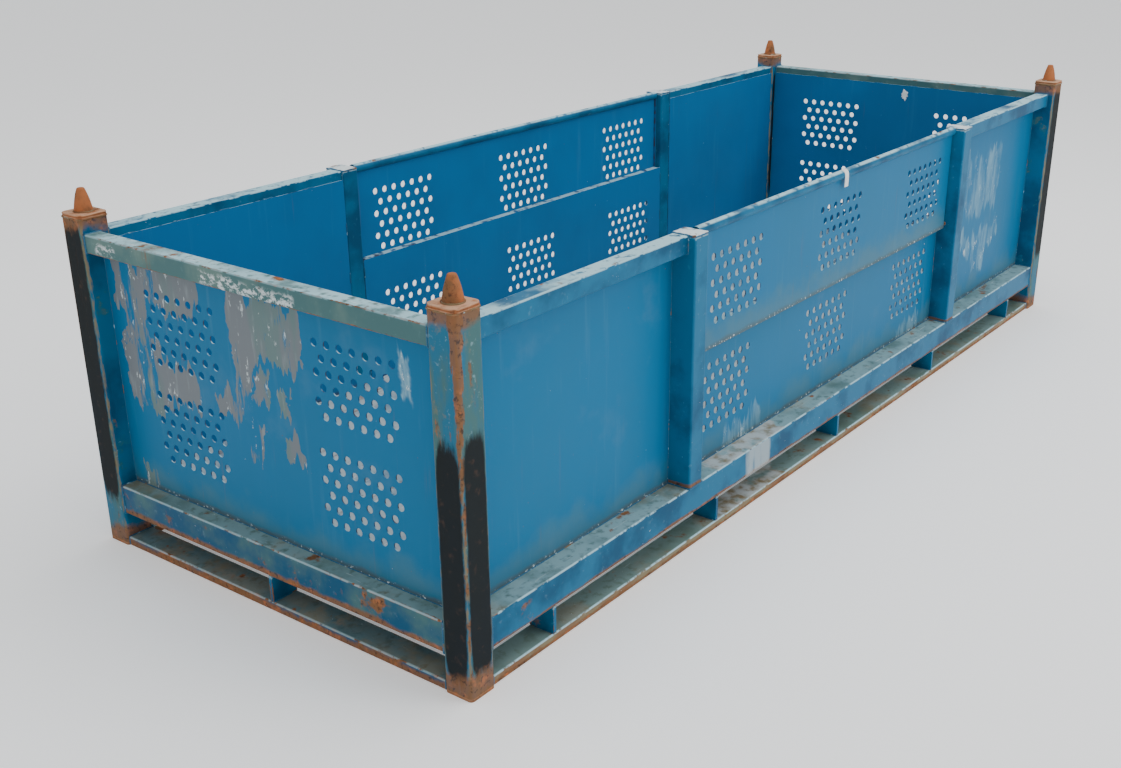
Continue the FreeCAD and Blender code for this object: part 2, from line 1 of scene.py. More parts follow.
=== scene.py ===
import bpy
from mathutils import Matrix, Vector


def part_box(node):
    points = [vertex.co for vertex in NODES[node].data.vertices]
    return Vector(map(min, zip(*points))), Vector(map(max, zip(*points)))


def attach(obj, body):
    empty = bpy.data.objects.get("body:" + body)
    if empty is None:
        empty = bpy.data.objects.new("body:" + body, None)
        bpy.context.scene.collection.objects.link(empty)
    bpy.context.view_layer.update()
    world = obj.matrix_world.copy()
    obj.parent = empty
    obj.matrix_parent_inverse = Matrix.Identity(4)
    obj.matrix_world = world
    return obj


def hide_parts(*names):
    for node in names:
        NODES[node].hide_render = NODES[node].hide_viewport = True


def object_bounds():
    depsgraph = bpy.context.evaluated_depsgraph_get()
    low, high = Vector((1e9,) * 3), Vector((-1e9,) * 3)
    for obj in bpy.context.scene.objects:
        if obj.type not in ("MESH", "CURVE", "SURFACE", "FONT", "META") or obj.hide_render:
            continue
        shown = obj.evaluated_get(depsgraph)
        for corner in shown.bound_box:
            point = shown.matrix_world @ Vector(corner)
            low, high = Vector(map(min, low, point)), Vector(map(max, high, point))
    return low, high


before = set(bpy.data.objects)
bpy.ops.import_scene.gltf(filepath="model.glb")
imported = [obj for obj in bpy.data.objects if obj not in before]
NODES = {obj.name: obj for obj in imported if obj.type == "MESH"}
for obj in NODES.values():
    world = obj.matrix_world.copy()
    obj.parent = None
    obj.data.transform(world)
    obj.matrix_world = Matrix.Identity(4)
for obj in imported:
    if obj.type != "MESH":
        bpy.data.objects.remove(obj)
"""Finishes for a welded stacking container: worn paint, rust, weld beads, caps and small labels.

The container stands on +Z, with its length along X and its width along Y, in metres. Front is -Y, back is
+Y, left is -X and right is +X.
"""
import math

import bmesh
import bpy
from bpy.props import FloatProperty, FloatVectorProperty, IntProperty, PointerProperty
from mathutils import Matrix, Vector, noise

bl_info = {
    "name": "Stacking Container Finishes",
    "version": (1, 0, 0),
    "blender": (4, 5, 0),
    "location": "3D View > Sidebar > Container",
    "description": "Worn paint, rust, weld beads and caps for a stacking container",
    "category": "Object",
}

CAD_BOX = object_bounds()
MM = 0.001
GLOSS = 0.14
UPRIGHT = (1, 1, 0.06)
STROKES = (1, 1, 0.16)
SIDES = {"front": -1, "back": 1}
ENDS = {"left": -1, "right": 1}
CORNERS = tuple((side, end) for side in SIDES for end in ENDS)


def srgb(red, green, blue):
    """Turn a screen colour of 0 to 255 into the linear colour that a shader takes."""
    def linear(value):
        value /= 255
        return value / 12.92 if value <= 0.04045 else ((value + 0.055) / 1.055) ** 2.4
    return (linear(red), linear(green), linear(blue), 1.0)


# ---- Settings ----

def colour_setting(name, description, *screen_colour):
    return FloatVectorProperty(
        name=name, description=description, subtype="COLOR", size=4, min=0, max=1,
        default=srgb(*screen_colour))


def length_setting(name, description, default):
    return FloatProperty(
        name=name, description=description, subtype="DISTANCE", unit="LENGTH", min=0, default=default)


class ContainerColours(bpy.types.PropertyGroup):
    """Colours of the container's finishes."""
    sheet_outside: colour_setting("Sheet outside", "Faded paint on the sheets' outer faces", 0, 104, 148)
    sheet_inside: colour_setting("Sheet inside", "Paint on the inner faces of the sheets", 14, 108, 162)
    sheet_deep: colour_setting("Sheet deep", "Darker clouds in the sheet paint", 8, 92, 140)
    rail: colour_setting("Rail", "Paint on rails, runners and mid-posts", 14, 102, 140)
    rail_deep: colour_setting("Rail deep", "Darker clouds in the rail paint", 10, 74, 108)
    # The pale colour below is also a painted highlight. On the tops of the gate tubes and top rails, and on
    # upward-facing hole walls, it is partly scuffed paint and partly light caught there.
    rubbed_and_highlight: colour_setting("Rubbed", "Chalky paint rubbed on top faces", 166, 204, 214)
    ledge: colour_setting("Ledge", "Greyed paint where dirt lies", 98, 124, 118)
    grime: colour_setting("Grime", "Olive grime along edges and ledges", 128, 116, 88)
    post: colour_setting("Post", "Greyed paint on the corner posts", 66, 104, 106)
    rust: colour_setting("Rust", "Brown rust", 126, 88, 60)
    rust_bright: colour_setting("Bright rust", "Fresh orange rust", 178, 106, 64)
    rust_dark: colour_setting("Dark rust", "Old dark rust", 78, 56, 44)
    worn_cap: colour_setting("Worn cap", "Rubbed top of a post cap", 200, 160, 130)
    tar: colour_setting("Tar", "Black smear on the posts", 24, 27, 29)
    overpaint: colour_setting("Overpaint", "Grey paint brushed over old marks", 118, 121, 123)
    dust: colour_setting("Dust", "Pale dust on the floor and ledges", 176, 186, 188)
    bare: colour_setting("Bare steel", "Scratches down to the metal", 214, 224, 226)
    paper: colour_setting("Paper", "Label paper", 232, 234, 232)
    ground: colour_setting("Ground", "Studio floor", 246, 246, 246)


class ContainerSizes(bpy.types.PropertyGroup):
    """Sizes of the pieces that the finishes add."""
    bead: length_setting("Weld bead", "Radius of a weld bead", 3.2 * MM)
    seam: length_setting("Seam bead", "Radius of the bead along a sheet", 2.2 * MM)
    ripple: length_setting("Ripple", "Spacing of the ripples in a bead", 4 * MM)
    stitch: length_setting("Stitch", "Length of a stitch weld", 38 * MM)
    stitch_pitch: length_setting("Stitch pitch", "Spacing of the stitch welds", 150 * MM)
    cap_corner: length_setting("Cap corner", "Corner radius of a post cap", 16 * MM)
    cap_wobble: length_setting("Cap wobble", "Unevenness of a cap's rim", 1.2 * MM)
    bead_sides: IntProperty(name="Bead sides", description="Sides of a bead's section", min=5, default=7)


def colours():
    return bpy.context.scene.container_colours


def show(item):
    """Put an object into the scene."""
    bpy.context.scene.collection.objects.link(item)


def outer_face(node, axis, outward):
    """Where a piece ends along an axis, on the side that faces out of the container."""
    low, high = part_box(node)
    return high[axis] if outward > 0 else low[axis]


def sizes():
    return bpy.context.scene.container_sizes


# ---- Shader expressions ----

class Field:
    """A number that varies over a surface, written with ordinary arithmetic."""

    def __init__(self, coat, socket):
        self.coat = coat
        self.socket = socket

    def math(self, operation, *values):
        inputs = dict(enumerate((self, *values)))
        return self.coat.node("ShaderNodeMath", {"operation": operation}, inputs)["Value"]

    def __add__(self, other):
        return self.math("ADD", other)

    __radd__ = __add__

    def __sub__(self, other):
        return self.math("SUBTRACT", other)

    def __rsub__(self, other):
        return self.math("MULTIPLY_ADD", -1.0, other)

    def __mul__(self, other):
        return self.math("MULTIPLY", other)

    __rmul__ = __mul__

    def least(self, other):
        return self.math("MINIMUM", other)

    def most(self, other):
        return self.math("MAXIMUM", other)

    def size(self):
        return self.math("ABSOLUTE")

    def rise(self, low, high):
        """Rise smoothly from 0 at low to 1 at high; high may be below low."""
        values = {"Value": self, "From Min": min(low, high), "From Max": max(low, high)}
        if high < low:
            values |= {"To Min": 1.0, "To Max": 0.0}
        return self.coat.node("ShaderNodeMapRange", {"interpolation_type": "SMOOTHSTEP"}, values)["Result"]

    def within(self, low, high, soft):
        """Be 1 between low and high and fade out over soft beyond them."""
        return self.rise(low - soft, low) * self.rise(high + soft, high)


class Coat:
    """A material being made: its node tree, its position fields and its layers."""

    def __init__(self, name, colour, roughness, metallic=0.0):
        self.material = bpy.data.materials.new(name)
        self.material.use_nodes = True
        self.tree = self.material.node_tree
        self.shader = self.tree.nodes["Principled BSDF"]
        place = self.node("ShaderNodeTexCoord")
        self.place = place["Object"].socket
        split = self.node("ShaderNodeSeparateXYZ", None, {"Vector": self.place})
        self.x, self.y, self.z = split["X"], split["Y"], split["Z"]
        facing = self.node("ShaderNodeSeparateXYZ", None, {"Vector": place["Normal"].socket})
        self.facing_x, self.facing_y, self.facing_z = facing["X"], facing["Y"], facing["Z"]
        self.colour = tuple(colour)
        self.roughness = roughness
        self.metallic = metallic
        self.relief = 0.0

    def node(self, kind, settings=None, values=None):
        """Add a node: its settings first, then its sockets' values or links. Gives its outputs by name."""
        item = self.tree.nodes.new(kind)
        for name, value in (settings or {}).items():
            setattr(item, name, value)
        for name, value in (values or {}).items():
            self.feed(item.inputs[name], value)
        return {output.name: Field(self, output) for output in item.outputs if output.enabled}

    def feed(self, socket, value):
        if isinstance(value, Field):
            value = value.socket
        if isinstance(value, bpy.types.NodeSocket):
            self.tree.links.new(value, socket)
        else:
            socket.default_value = value

    def grain(self, scale, detail=3.0, shift=0.0, stretch=(1, 1, 1), rough=0.55):
        """Noise from 0 to 1; shift moves it elsewhere and stretch squeezes it along an axis."""
        moved = {"Vector": self.place, "Location": (shift, shift * 0.7, -shift), "Scale": stretch}
        place = self.node("ShaderNodeMapping", None, moved)["Vector"]
        values = {"Vector": place, "Scale": scale, "Detail": detail, "Roughness": rough}
        return self.node("ShaderNodeTexNoise", {"noise_dimensions": "3D"}, values)["Fac"]

    def cells(self, scale, shift):
        """Distance to scattered points, for pits and chips."""
        moved = {"Vector": self.place, "Location": (shift, shift, shift)}
        place = self.node("ShaderNodeMapping", None, moved)["Vector"]
        values = {"Vector": place, "Scale": scale}
        return self.node("ShaderNodeTexVoronoi", {"feature": "F1"}, values)["Distance"]

    def blend(self, mask, under, over):
        """Mix two colours: under where the mask is 0 and over where it is 1."""
        mixed = self.node("ShaderNodeMix", {"data_type": "RGBA"}, {"Factor": mask})["Result"].socket
        colour_inputs = [item for item in mixed.node.inputs if item.type == "RGBA"]
        for socket, colour in zip(colour_inputs, (under, over)):
            self.feed(socket, colour)
        return Field(self, next(item for item in mixed.node.outputs if item.type == "RGBA"))

    def lay(self, mask, colour, roughness=None, relief=0.0, metallic=None):
        """Lay a coat where the mask is 1; relief is its height in millimetres."""
        over = colour if isinstance(colour, Field) else tuple(colour)
        self.colour = self.blend(mask, self.colour, over)
        if roughness is not None:
            self.roughness = mask * (roughness - self.roughness) + self.roughness
        if metallic is not None:
            self.metallic = mask * (metallic - self.metallic) + self.metallic
        if relief:
            self.relief = mask * relief + self.relief

    def done(self):
        """Join the layers to the shader and give the material."""
        self.feed(self.shader.inputs["Base Color"], self.colour)
        self.feed(self.shader.inputs["Roughness"], self.roughness)
        self.feed(self.shader.inputs["Metallic"], self.metallic)
        self.shader.inputs["Specular IOR Level"].default_value = GLOSS
        if isinstance(self.relief, Field):
            bump = self.node("ShaderNodeBump", None, {"Height": self.relief, "Distance": MM, "Strength": 0.8})
            self.feed(self.shader.inputs["Normal"], bump["Normal"])
        return self.material


def arris(coat, box):
    """Distance to the nearest edge of a box-shaped piece, in metres, on any of its faces."""
    places = zip((coat.x, coat.y, coat.z), *box)
    first, second, third = [(place - low).least(high - place) for place, low, high in places]
    return first.least(second).most(first.most(second).least(third))


# ---- Finishes ----

def rust_colour(coat, shift):
    """Brown rust with orange and dark clouds."""
    tint = colours()
    cloudy = coat.blend(coat.grain(38, 4, shift).rise(0.5, 0.76), tint.rust, tint.rust_bright)
    return coat.blend(coat.grain(95, 3, shift + 5).rise(0.52, 0.7), cloudy, tint.rust_dark)


def add_orange_peel(coat):
    """Low brushed waves and fine grain that any of the paints has."""
    coat.relief = coat.grain(5, 2, 9) * 2.4 + coat.grain(420, 2) * 0.10 + coat.relief


def rust_edges(coat, box, reach, shift=0.0, strength=0.5):
    """Rust and bare steel along the edges of a bar."""
    ragged = coat.grain(26, 5, shift) * 0.9 + coat.grain(110, 3, shift) * 0.35
    pull = arris(coat, box) * (1.0 / reach)
    start = 0.62 - strength * 0.3
    coat.lay((ragged - pull).rise(start, start + 0.12), rust_colour(coat, shift), 0.82, -0.25)


def chip_crest(coat, box, shift, strength):
    """Pale chipped paint along the upper edges of a bar."""
    near_top = (box[1][2] - coat.z).rise(9 * MM, 4 * MM)
    near_edge = arris(coat, box).rise(5 * MM, 2 * MM)
    broken = coat.grain(20, 6, shift + 9, rough=0.65).rise(0.42, 0.5)
    coat.lay(near_top * near_edge * broken * strength, colours().rubbed_and_highlight, 0.5, -0.1)


def rust_foot(coat, bottom, reach, shift, strength=0.9):
    """Ragged rust that climbs about reach up from the bottom of a piece."""
    climb = (coat.z - bottom) * (1.0 / reach) - coat.grain(9, 6, shift + 6, rough=0.65) * 2.2
    coat.lay(climb.rise(0.1, -0.5) * strength, rust_colour(coat, shift + 6), 0.86, -0.25)


def paint_bar(name, node, shift, base="rail", deep="rail_deep", top_rub_and_highlight=0.8, reach=0.012, rust=0.5, blotch=0.0,
              ledge=0.0, crest=0.6, foot=0.0):
    """Worn paint on a rail: clouds, rust at its edges, and a top face made pale and scratched; the pale top
    is partly scuffed paint and partly a painted highlight.
    """
    tint = colours()
    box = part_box(node)
    coat = Coat(name, getattr(tint, base), 0.44)
    coat.lay(coat.grain(7, 4, shift).rise(0.42, 0.68), getattr(tint, deep), 0.5)
    coat.lay(coat.grain(60, 5, shift + 1).rise(0.6, 0.78) * 0.12, tint.rubbed_and_highlight, 0.6)
    if blotch:
        start = 0.66 - blotch * 0.3
        spread = coat.grain(9, 6, shift + 3, rough=0.65).rise(start, start + 0.08)
        coat.lay(spread, rust_colour(coat, shift), 0.84, -0.3)
    up = coat.facing_z.rise(0.55, 0.9)
    if ledge:
        coat.lay(up * ledge, tint.ledge, 0.6)
        coat.lay(up * coat.grain(5, 6, shift + 5).rise(0.5, 0.62) * 0.7, tint.grime, 0.75)
    # Pale patches on upward faces: partly scuffed paint and partly a painted highlight where light falls
    # along the top.
    patchy_rub_and_highlight = coat.grain(6, 5, shift + 2).rise(0.3, 0.55) * coat.grain(44, 4, shift).rise(0.28, 0.5)
    coat.lay(up * patchy_rub_and_highlight * top_rub_and_highlight, tint.rubbed_and_highlight, 0.55)
    along = (1, 14, 14) if box[1][0] - box[0][0] > box[1][1] - box[0][1] else (14, 1, 14)
    scratch = coat.grain(9, 6, shift + 4, along, rough=0.7).rise(0.62, 0.68)
    coat.lay(up * scratch * top_rub_and_highlight, tint.bare, 0.4, -0.1)
    coat.lay(up * coat.grain(16, 5, shift + 7).rise(0.62, 0.7), rust_colour(coat, shift + 2), 0.85, -0.2)
    if foot:
        rust_foot(coat, box[0][2], foot, shift)
    if rust:
        rust_edges(coat, box, reach, shift, rust)
        chip_crest(coat, box, shift, crest)
    chips = coat.grain(150, 4, shift).rise(0.7, 0.74) * coat.grain(9, 3, shift).rise(0.5, 0.62)
    coat.lay(chips, tint.bare, 0.45, -0.2)
    add_orange_peel(coat)
    return coat


def paint_sheet(name, node, wall_axis, outward, shift):
    """Paint on a wall sheet: faded outside, deeper inside, hole edges dark with rust and pale where they face
    up, partly scuffed paint and partly a painted highlight, and a dirty lower edge.
    """
    tint = colours()
    coat = Coat(name, tint.sheet_inside, 0.36)
    facing = (coat.facing_x, coat.facing_y)[wall_axis]
    outside = (facing * outward).rise(0.2, 0.8)
    coat.lay(coat.grain(2.6, 3, shift).rise(0.38, 0.72) * 0.55, tint.sheet_deep, 0.4)
    faded = coat.blend(coat.grain(3.4, 4, shift + 2).rise(0.35, 0.75) * 0.5, tint.sheet_outside, tint.rail)
    coat.lay(outside, faded, 0.46)
    streak = (16, 16, 1.1)
    coat.lay(coat.grain(2.5, 5, shift, streak).rise(0.56, 0.8) * 0.05, tint.rubbed_and_highlight, 0.55)
    coat.lay(coat.grain(3.1, 5, shift + 6, streak).rise(0.64, 0.8) * 0.20, tint.rust, 0.6)
    smudge = coat.grain(5, 6, shift + 12, rough=0.6).rise(0.58, 0.76) * 0.05
    coat.lay(outside * smudge, tint.dust, 0.6)
    height = coat.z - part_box(node)[0][2]
    dirty = height * 60 - coat.grain(13, 4, shift) * 1.6
    coat.lay(dirty.rise(0.3, -0.6) * 0.6, tint.rust_dark, 0.75)
    dusty = height * 9 - coat.grain(10, 4, shift + 3) * 1.6
    coat.lay(outside * dusty.rise(0.1, -0.7) * 0.36, tint.ledge, 0.6)
    spatter = height.rise(14 * MM, 2 * MM) * coat.grain(130, 4, shift + 4).rise(0.6, 0.66)
    coat.lay(outside * spatter, tint.bare, 0.45, 0.2)
    specks = coat.grain(120, 4, shift).rise(0.71, 0.75) * coat.grain(6, 3, shift + 1).rise(0.5, 0.62)
    coat.lay(specks, rust_colour(coat, shift), 0.8, -0.15)
    flecks = coat.grain(95, 5, shift + 3).rise(0.73, 0.76) * coat.grain(4, 3, shift + 8).rise(0.5, 0.6)
    coat.lay(flecks, tint.bare, 0.4, -0.15)
    flat = facing.size().rise(0.55, 0.8)
    rim = coat.grain(40, 4, shift + 1).rise(0.4, 0.6) * 0.6 + 0.2
    coat.lay((1 - flat) * rim, tint.rust_dark, 0.8)
    # Upward-facing hole walls and sheet edges made pale: partly paint scuffed there and partly a painted
    # highlight where light catches the lower rims of the holes.
    upward_wall_wear_and_highlight = coat.facing_z.rise(0.3, 0.8) * coat.grain(30, 3, shift + 5).rise(0.36, 0.5)
    coat.lay((1 - flat) * upward_wall_wear_and_highlight * 0.85, tint.rubbed_and_highlight, 0.5)
    coat.outside = outside * flat
    add_orange_peel(coat)
    return coat


def reach_of(coat, spots, axis, finger, drift):
    """1 inside boxes of (low, high, bottom, top) along an axis, with brushed ends and wavy sides."""
    across = (coat.x, coat.y)[axis]
    ends = (coat.grain(34, 3, 3, UPRIGHT) - 0.5) * finger
    sideways = (coat.grain(9, 4, 11) - 0.5) * drift
    reach = None
    for low, high, bottom, top in spots:
        spot = (across + sideways).within(low, high, 14 * MM) * (coat.z + ends).within(bottom, top, 18 * MM)
        reach = spot if reach is None else reach.most(spot)
    return reach


def brush_over(coat, spots, axis, cover):
    """Grey paint brushed over old marks in vertical strokes, with the sheet showing between them."""
    tint = colours()
    ragged = (coat.grain(32, 5, 7, STROKES, rough=0.6) - 0.5) * 1.1
    reach = reach_of(coat, spots, axis, 0.22, 0.12)
    mask = (reach + ragged).rise(0.48, 0.60)
    closed = coat.grain(15, 6, 31, STROKES, rough=0.68).rise(0.41, 0.46)
    cool = coat.grain(11, 5, 13, STROKES).rise(0.44, 0.6) * 0.7
    tone = coat.blend(cool, tint.overpaint, tint.ledge)
    pale = coat.grain(60, 4, 17, STROKES).rise(0.55, 0.75) * 0.25
    tone = coat.blend(pale, tone, tint.dust)
    coat.lay(mask * closed * coat.outside * cover, tone, 0.6, 0.12)
    flecks = coat.grain(44, 6, 41, (1, 1, 0.4), rough=0.72).rise(0.61, 0.64)
    coat.lay(reach.rise(0.3, 0.9) * flecks * coat.outside * 0.7, tint.bare, 0.5, -0.1)


def scuff(coat, spots, axis, cloud, chips):
    """Cloudy rubbed paint in vertical strokes, with bright chips among them."""
    tint = colours()
    reach = reach_of(coat, spots, axis, 0.20, 0.10)
    cloudy = coat.grain(30, 6, 23, STROKES, rough=0.66).rise(0.36, 0.66)
    coat.lay(reach * cloudy * coat.outside * cloud, tint.rubbed_and_highlight, 0.6, 0.05)
    jagged = coat.grain(46, 6, 27, (1, 1, 0.4), rough=0.72).rise(0.60, 0.64)
    coat.lay(reach.rise(0.3, 0.9) * jagged * coat.outside * chips, tint.bare, 0.45, -0.1)


def paint_post(name, node, shift, out_x, out_y, tar):
    """A corner post: grey outside, blue inside, rust, and black smears of (axis, sign, bottom, top)."""
    tint = colours()
    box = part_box(node)
    low, high = box
    coat = Coat(name, tint.post, 0.6)
    tall = (7, 7, 1.6)
    coat.lay(coat.grain(3, 5, shift, tall).rise(0.38, 0.60) * 0.75, tint.rail, 0.55)
    spread = coat.grain(3.6, 7, shift + 2, tall, rough=0.68).rise(0.60, 0.66)
    coat.lay(spread * 0.8, rust_colour(coat, shift), 0.85, -0.3)
    coat.lay(coat.grain(24, 6, shift + 8, rough=0.7).rise(0.56, 0.66) * 0.4, tint.grime, 0.8)
    coat.lay(coat.grain(70, 4, shift).rise(0.62, 0.74) * 0.3, tint.rubbed_and_highlight, 0.6)
    nicks = coat.grain(60, 4, shift + 14, (1, 1, 0.4), rough=0.7).rise(0.69, 0.72)
    coat.lay(nicks, tint.rust_dark, 0.8, -0.3)
    inward = (coat.facing_x * -out_x).rise(0.4, 0.8).most((coat.facing_y * -out_y).rise(0.4, 0.8))
    blue = coat.blend(coat.grain(5, 4, shift).rise(0.4, 0.65), tint.rail, tint.rail_deep)
    coat.lay(inward * (coat.grain(14, 6, shift + 5, rough=0.65).rise(0.66, 0.58)), blue, 0.45)
    edge_line = (coat.grain(16, 5, shift + 6, tall) - 0.5) * 0.022 - arris(coat, box) + 7 * MM
    coat.lay(edge_line.rise(0.0, 4 * MM) * 0.85, tint.grime, 0.75)
    along_face = (coat.x - outer_face(node, 0, out_x)).size() + (coat.y - outer_face(node, 1, out_y)).size()
    climb = (coat.z - low[2]) * (1.0 / (high[2] - low[2]))
    ragged_stripe = (coat.grain(14, 6, shift + 9, tall, rough=0.65) - 0.5) * 0.035
    stripe = climb * climb * climb * 0.017 + 6 * MM + ragged_stripe - along_face
    coat.lay(stripe.rise(0.0, 3 * MM) * 0.9, rust_colour(coat, shift + 1), 0.85, -0.2)
    ragged = coat.grain(12, 5, shift + 4, tall, rough=0.66)
    for axis, sign, bottom, top in tar:
        facing = ((coat.facing_x, coat.facing_y)[axis] * sign).rise(0.3, 0.75)
        reach = coat.z.within(bottom, top, 0.16)
        across = (coat.y, coat.x)[axis]
        middle = (low[1 - axis] + high[1 - axis]) / 2
        strip = (across - middle).size().rise(46 * MM, 18 * MM)
        mask = (reach * strip * 1.1 + ragged * 0.7).rise(0.66, 1.02) * facing
        dull = coat.blend(coat.grain(50, 4, shift).rise(0.56, 0.8) * 0.5, tint.tar, tint.rust_dark)
        coat.lay(mask * 0.98, dull, 0.7, 0.25)
    top_rust = (high[2] - coat.z) * 22 - coat.grain(12, 5, shift, rough=0.65) * 1.7
    coat.lay(top_rust.rise(0.1, -0.4) * 0.85, rust_colour(coat, shift + 3), 0.85, -0.2)
    rust_foot(coat, low[2], 0.05, shift, 0.85)
    rust_edges(coat, box, 0.012, shift, 0.4)
    add_orange_peel(coat)
    return coat.done()


def paint_rusty(name, node, shift, paint_left=0.35, worn_rim=0.5, fresh=0.0, pale=0.0):
    """Bare brown steel with some paint left, for caps, cones and feet."""
    tint = colours()
    coat = Coat(name, tint.rust, 0.8, 0.1)
    coat.colour = rust_colour(coat, shift)
    coat.lay(coat.grain(16, 5, shift + 4, rough=0.6).rise(0.34, 0.56) * fresh, tint.rust_bright, 0.82)
    start = 0.7 - paint_left * 0.3
    left = coat.grain(14, 6, shift + 2, rough=0.66).rise(start, start + 0.07)
    coat.lay(left, tint.post, 0.6, 0.15)
    up = coat.facing_z.rise(0.5, 0.9)
    coat.lay(up * coat.grain(22, 6, shift + 6, rough=0.62).rise(0.34, 0.54) * pale, tint.worn_cap, 0.7)
    pits = coat.cells(160, shift).rise(0.2, 0.05)
    coat.lay(pits * 0.4, tint.rust_dark, 0.9, -0.3)
    distance = arris(coat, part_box(node))
    rim = (distance * 260 - coat.grain(40, 4, shift) * 1.6).rise(0.3, -0.5)
    coat.lay(rim * worn_rim, tint.worn_cap, 0.6, metallic=0.2)
    coat.relief = coat.grain(130, 4, shift) * 0.5 + coat.relief
    return coat.done()


def paint_weld(name, painted):
    """Weld metal, rusty, with paint left on the given share of it."""
    tint = colours()
    coat = Coat(name, tint.rust, 0.7, 0.15)
    coat.colour = rust_colour(coat, 2)
    coat.lay(coat.grain(34, 4, 6).rise(0.4, 0.6) * 0.7, tint.grime, 0.7)
    start = 0.7 - painted * 0.45
    coat.lay(coat.grain(22, 5, 4, rough=0.6).rise(start, start + 0.12) * painted, tint.rail, 0.5)
    coat.lay(coat.grain(60, 4, 8).rise(0.6, 0.72) * 0.7, tint.rubbed_and_highlight, 0.5)
    coat.relief = coat.grain(300, 3) * 0.4
    return coat.done()


def paint_floor():
    """The floor sheet: pale dust over scuffed paint."""
    tint = colours()
    coat = Coat("floor_paint", tint.dust, 0.7)
    coat.lay(coat.grain(4, 6, 2, rough=0.6).rise(0.5, 0.66) * 0.6, tint.rail, 0.5)
    stain = coat.grain(3, 6, 5, (1, 6, 1), rough=0.65).rise(0.56, 0.66)
    coat.lay(stain * 0.6, tint.rust, 0.8, -0.1)
    coat.lay(coat.cells(30, 1).rise(0.12, 0.06) * 0.6, tint.rust_dark, 0.8, -0.2)
    scratch = coat.grain(8, 6, 7, (1, 12, 1), rough=0.7).rise(0.64, 0.68)
    coat.lay(scratch, tint.bare, 0.4, -0.1)
    add_orange_peel(coat)
    return coat.done()


def paint_paper(name):
    """Label paper, creased and a little dirty."""
    tint = colours()
    coat = Coat(name, tint.paper, 0.75)
    coat.lay(coat.grain(60, 5).rise(0.55, 0.75) * 0.4, tint.dust, 0.8)
    coat.relief = coat.grain(90, 4, 3) * 0.8
    return coat.done()


def finish_node(node, material):
    """Give every face of a piece the same material."""
    slots = NODES[node].data.materials
    slots.clear()
    slots.append(material)


# ---- Mesh helpers ----

def new_piece(name, mesh_data, material, body, slot_name):
    """Make a piece from (points, faces), shade it smooth, and let it ride with its body."""
    points, faces = mesh_data
    mesh = bpy.data.meshes.new(name)
    mesh.from_pydata(points, [], faces)
    mesh.materials.append(material)
    edit = bmesh.new()
    edit.from_mesh(mesh)
    bmesh.ops.recalc_face_normals(edit, faces=edit.faces)
    edit.to_mesh(mesh)
    edit.free()
    mesh.shade_smooth()
    piece = bpy.data.objects.new(name, mesh)
    show(piece)
    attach(piece, body)
    return piece


def skin(rings, count, closed=False):
    """Faces between rings of count points each; closed joins the last ring to the first."""
    faces = []
    for ring_number in range(rings if closed else rings - 1):
        here, there = ring_number * count, (ring_number + 1) % rings * count
        for number in range(count):
            turned = (number + 1) % count
            faces.append((here + number, here + turned, there + turned, there + number))
    return faces


def joined(parts):
    """Join several (points, faces) into one."""
    points, faces = [], []
    for part_points, part_faces in parts:
        first = len(points)
        points += part_points
        faces += [tuple(first + index for index in face) for face in part_faces]
    return points, faces


def walk(corners, step):
    """Divide a run of straight lines into points about a step apart."""
    points = [corners[0]]
    for start, end in zip(corners, corners[1:]):
        count = max(1, round((end - start).length / step))
        points += [start.lerp(end, number / count) for number in range(1, count + 1)]
    return points


def bead(corners, radius, closed=False, seed=0.0):
    """A rippled weld bead along straight lines; its ends are tapered unless it is closed."""
    step = sizes().ripple / 2
    sides = sizes().bead_sides
    path = walk(corners, step)
    if closed:
        path = path[:-1]
    count = len(path)
    points = []
    for number, place in enumerate(path):
        before = path[number - 1] if closed or number else path[number]
        after = path[(number + 1) % count] if closed or number + 1 < count else path[number]
        along = (after - before).normalized()
        across = along.cross(Vector((0, 0, 1)) if abs(along.z) < 0.8 else Vector((1, 0, 0))).normalized()
        upright = across.cross(along)
        swell = 1 + 0.35 * noise.noise(place * 90 + Vector((seed, 0, 0)))
        swell += 0.14 if number % 2 else -0.14
        if not closed:
            swell *= min(1.0, 0.35 + 0.3 * min(number, count - 1 - number))
        for side in range(sides):
            turn = math.tau * side / sides
            points.append(place + (across * math.cos(turn) + upright * math.sin(turn)) * radius * swell)
    faces = skin(count, sides, closed)
    if not closed:
        faces.append(tuple(range(sides)))
        faces.append(tuple((count - 1) * sides + side for side in range(sides)))
    return points, faces


def ring(middle, radius, count=36):
    """Points round a level circle, with the first one again at the end."""
    turns = [math.tau * number / count for number in range(count + 1)]
    return [middle + Vector((math.cos(turn), math.sin(turn), 0)) * radius for turn in turns]


def rounded_outline(low, high, corner, steps=8):
    """Points round a rectangle with rounded corners, in the XY plane."""
    left, right = low[0] + corner, high[0] - corner
    front, back = low[1] + corner, high[1] - corner
    points = []
    for quarter, (x, y) in enumerate(((right, back), (left, back), (left, front), (right, front))):
        for step in range(steps + 1):
            turn = math.pi / 2 * (quarter + step / steps)
            points.append(Vector((x + corner * math.cos(turn), y + corner * math.sin(turn), 0)))
    return points


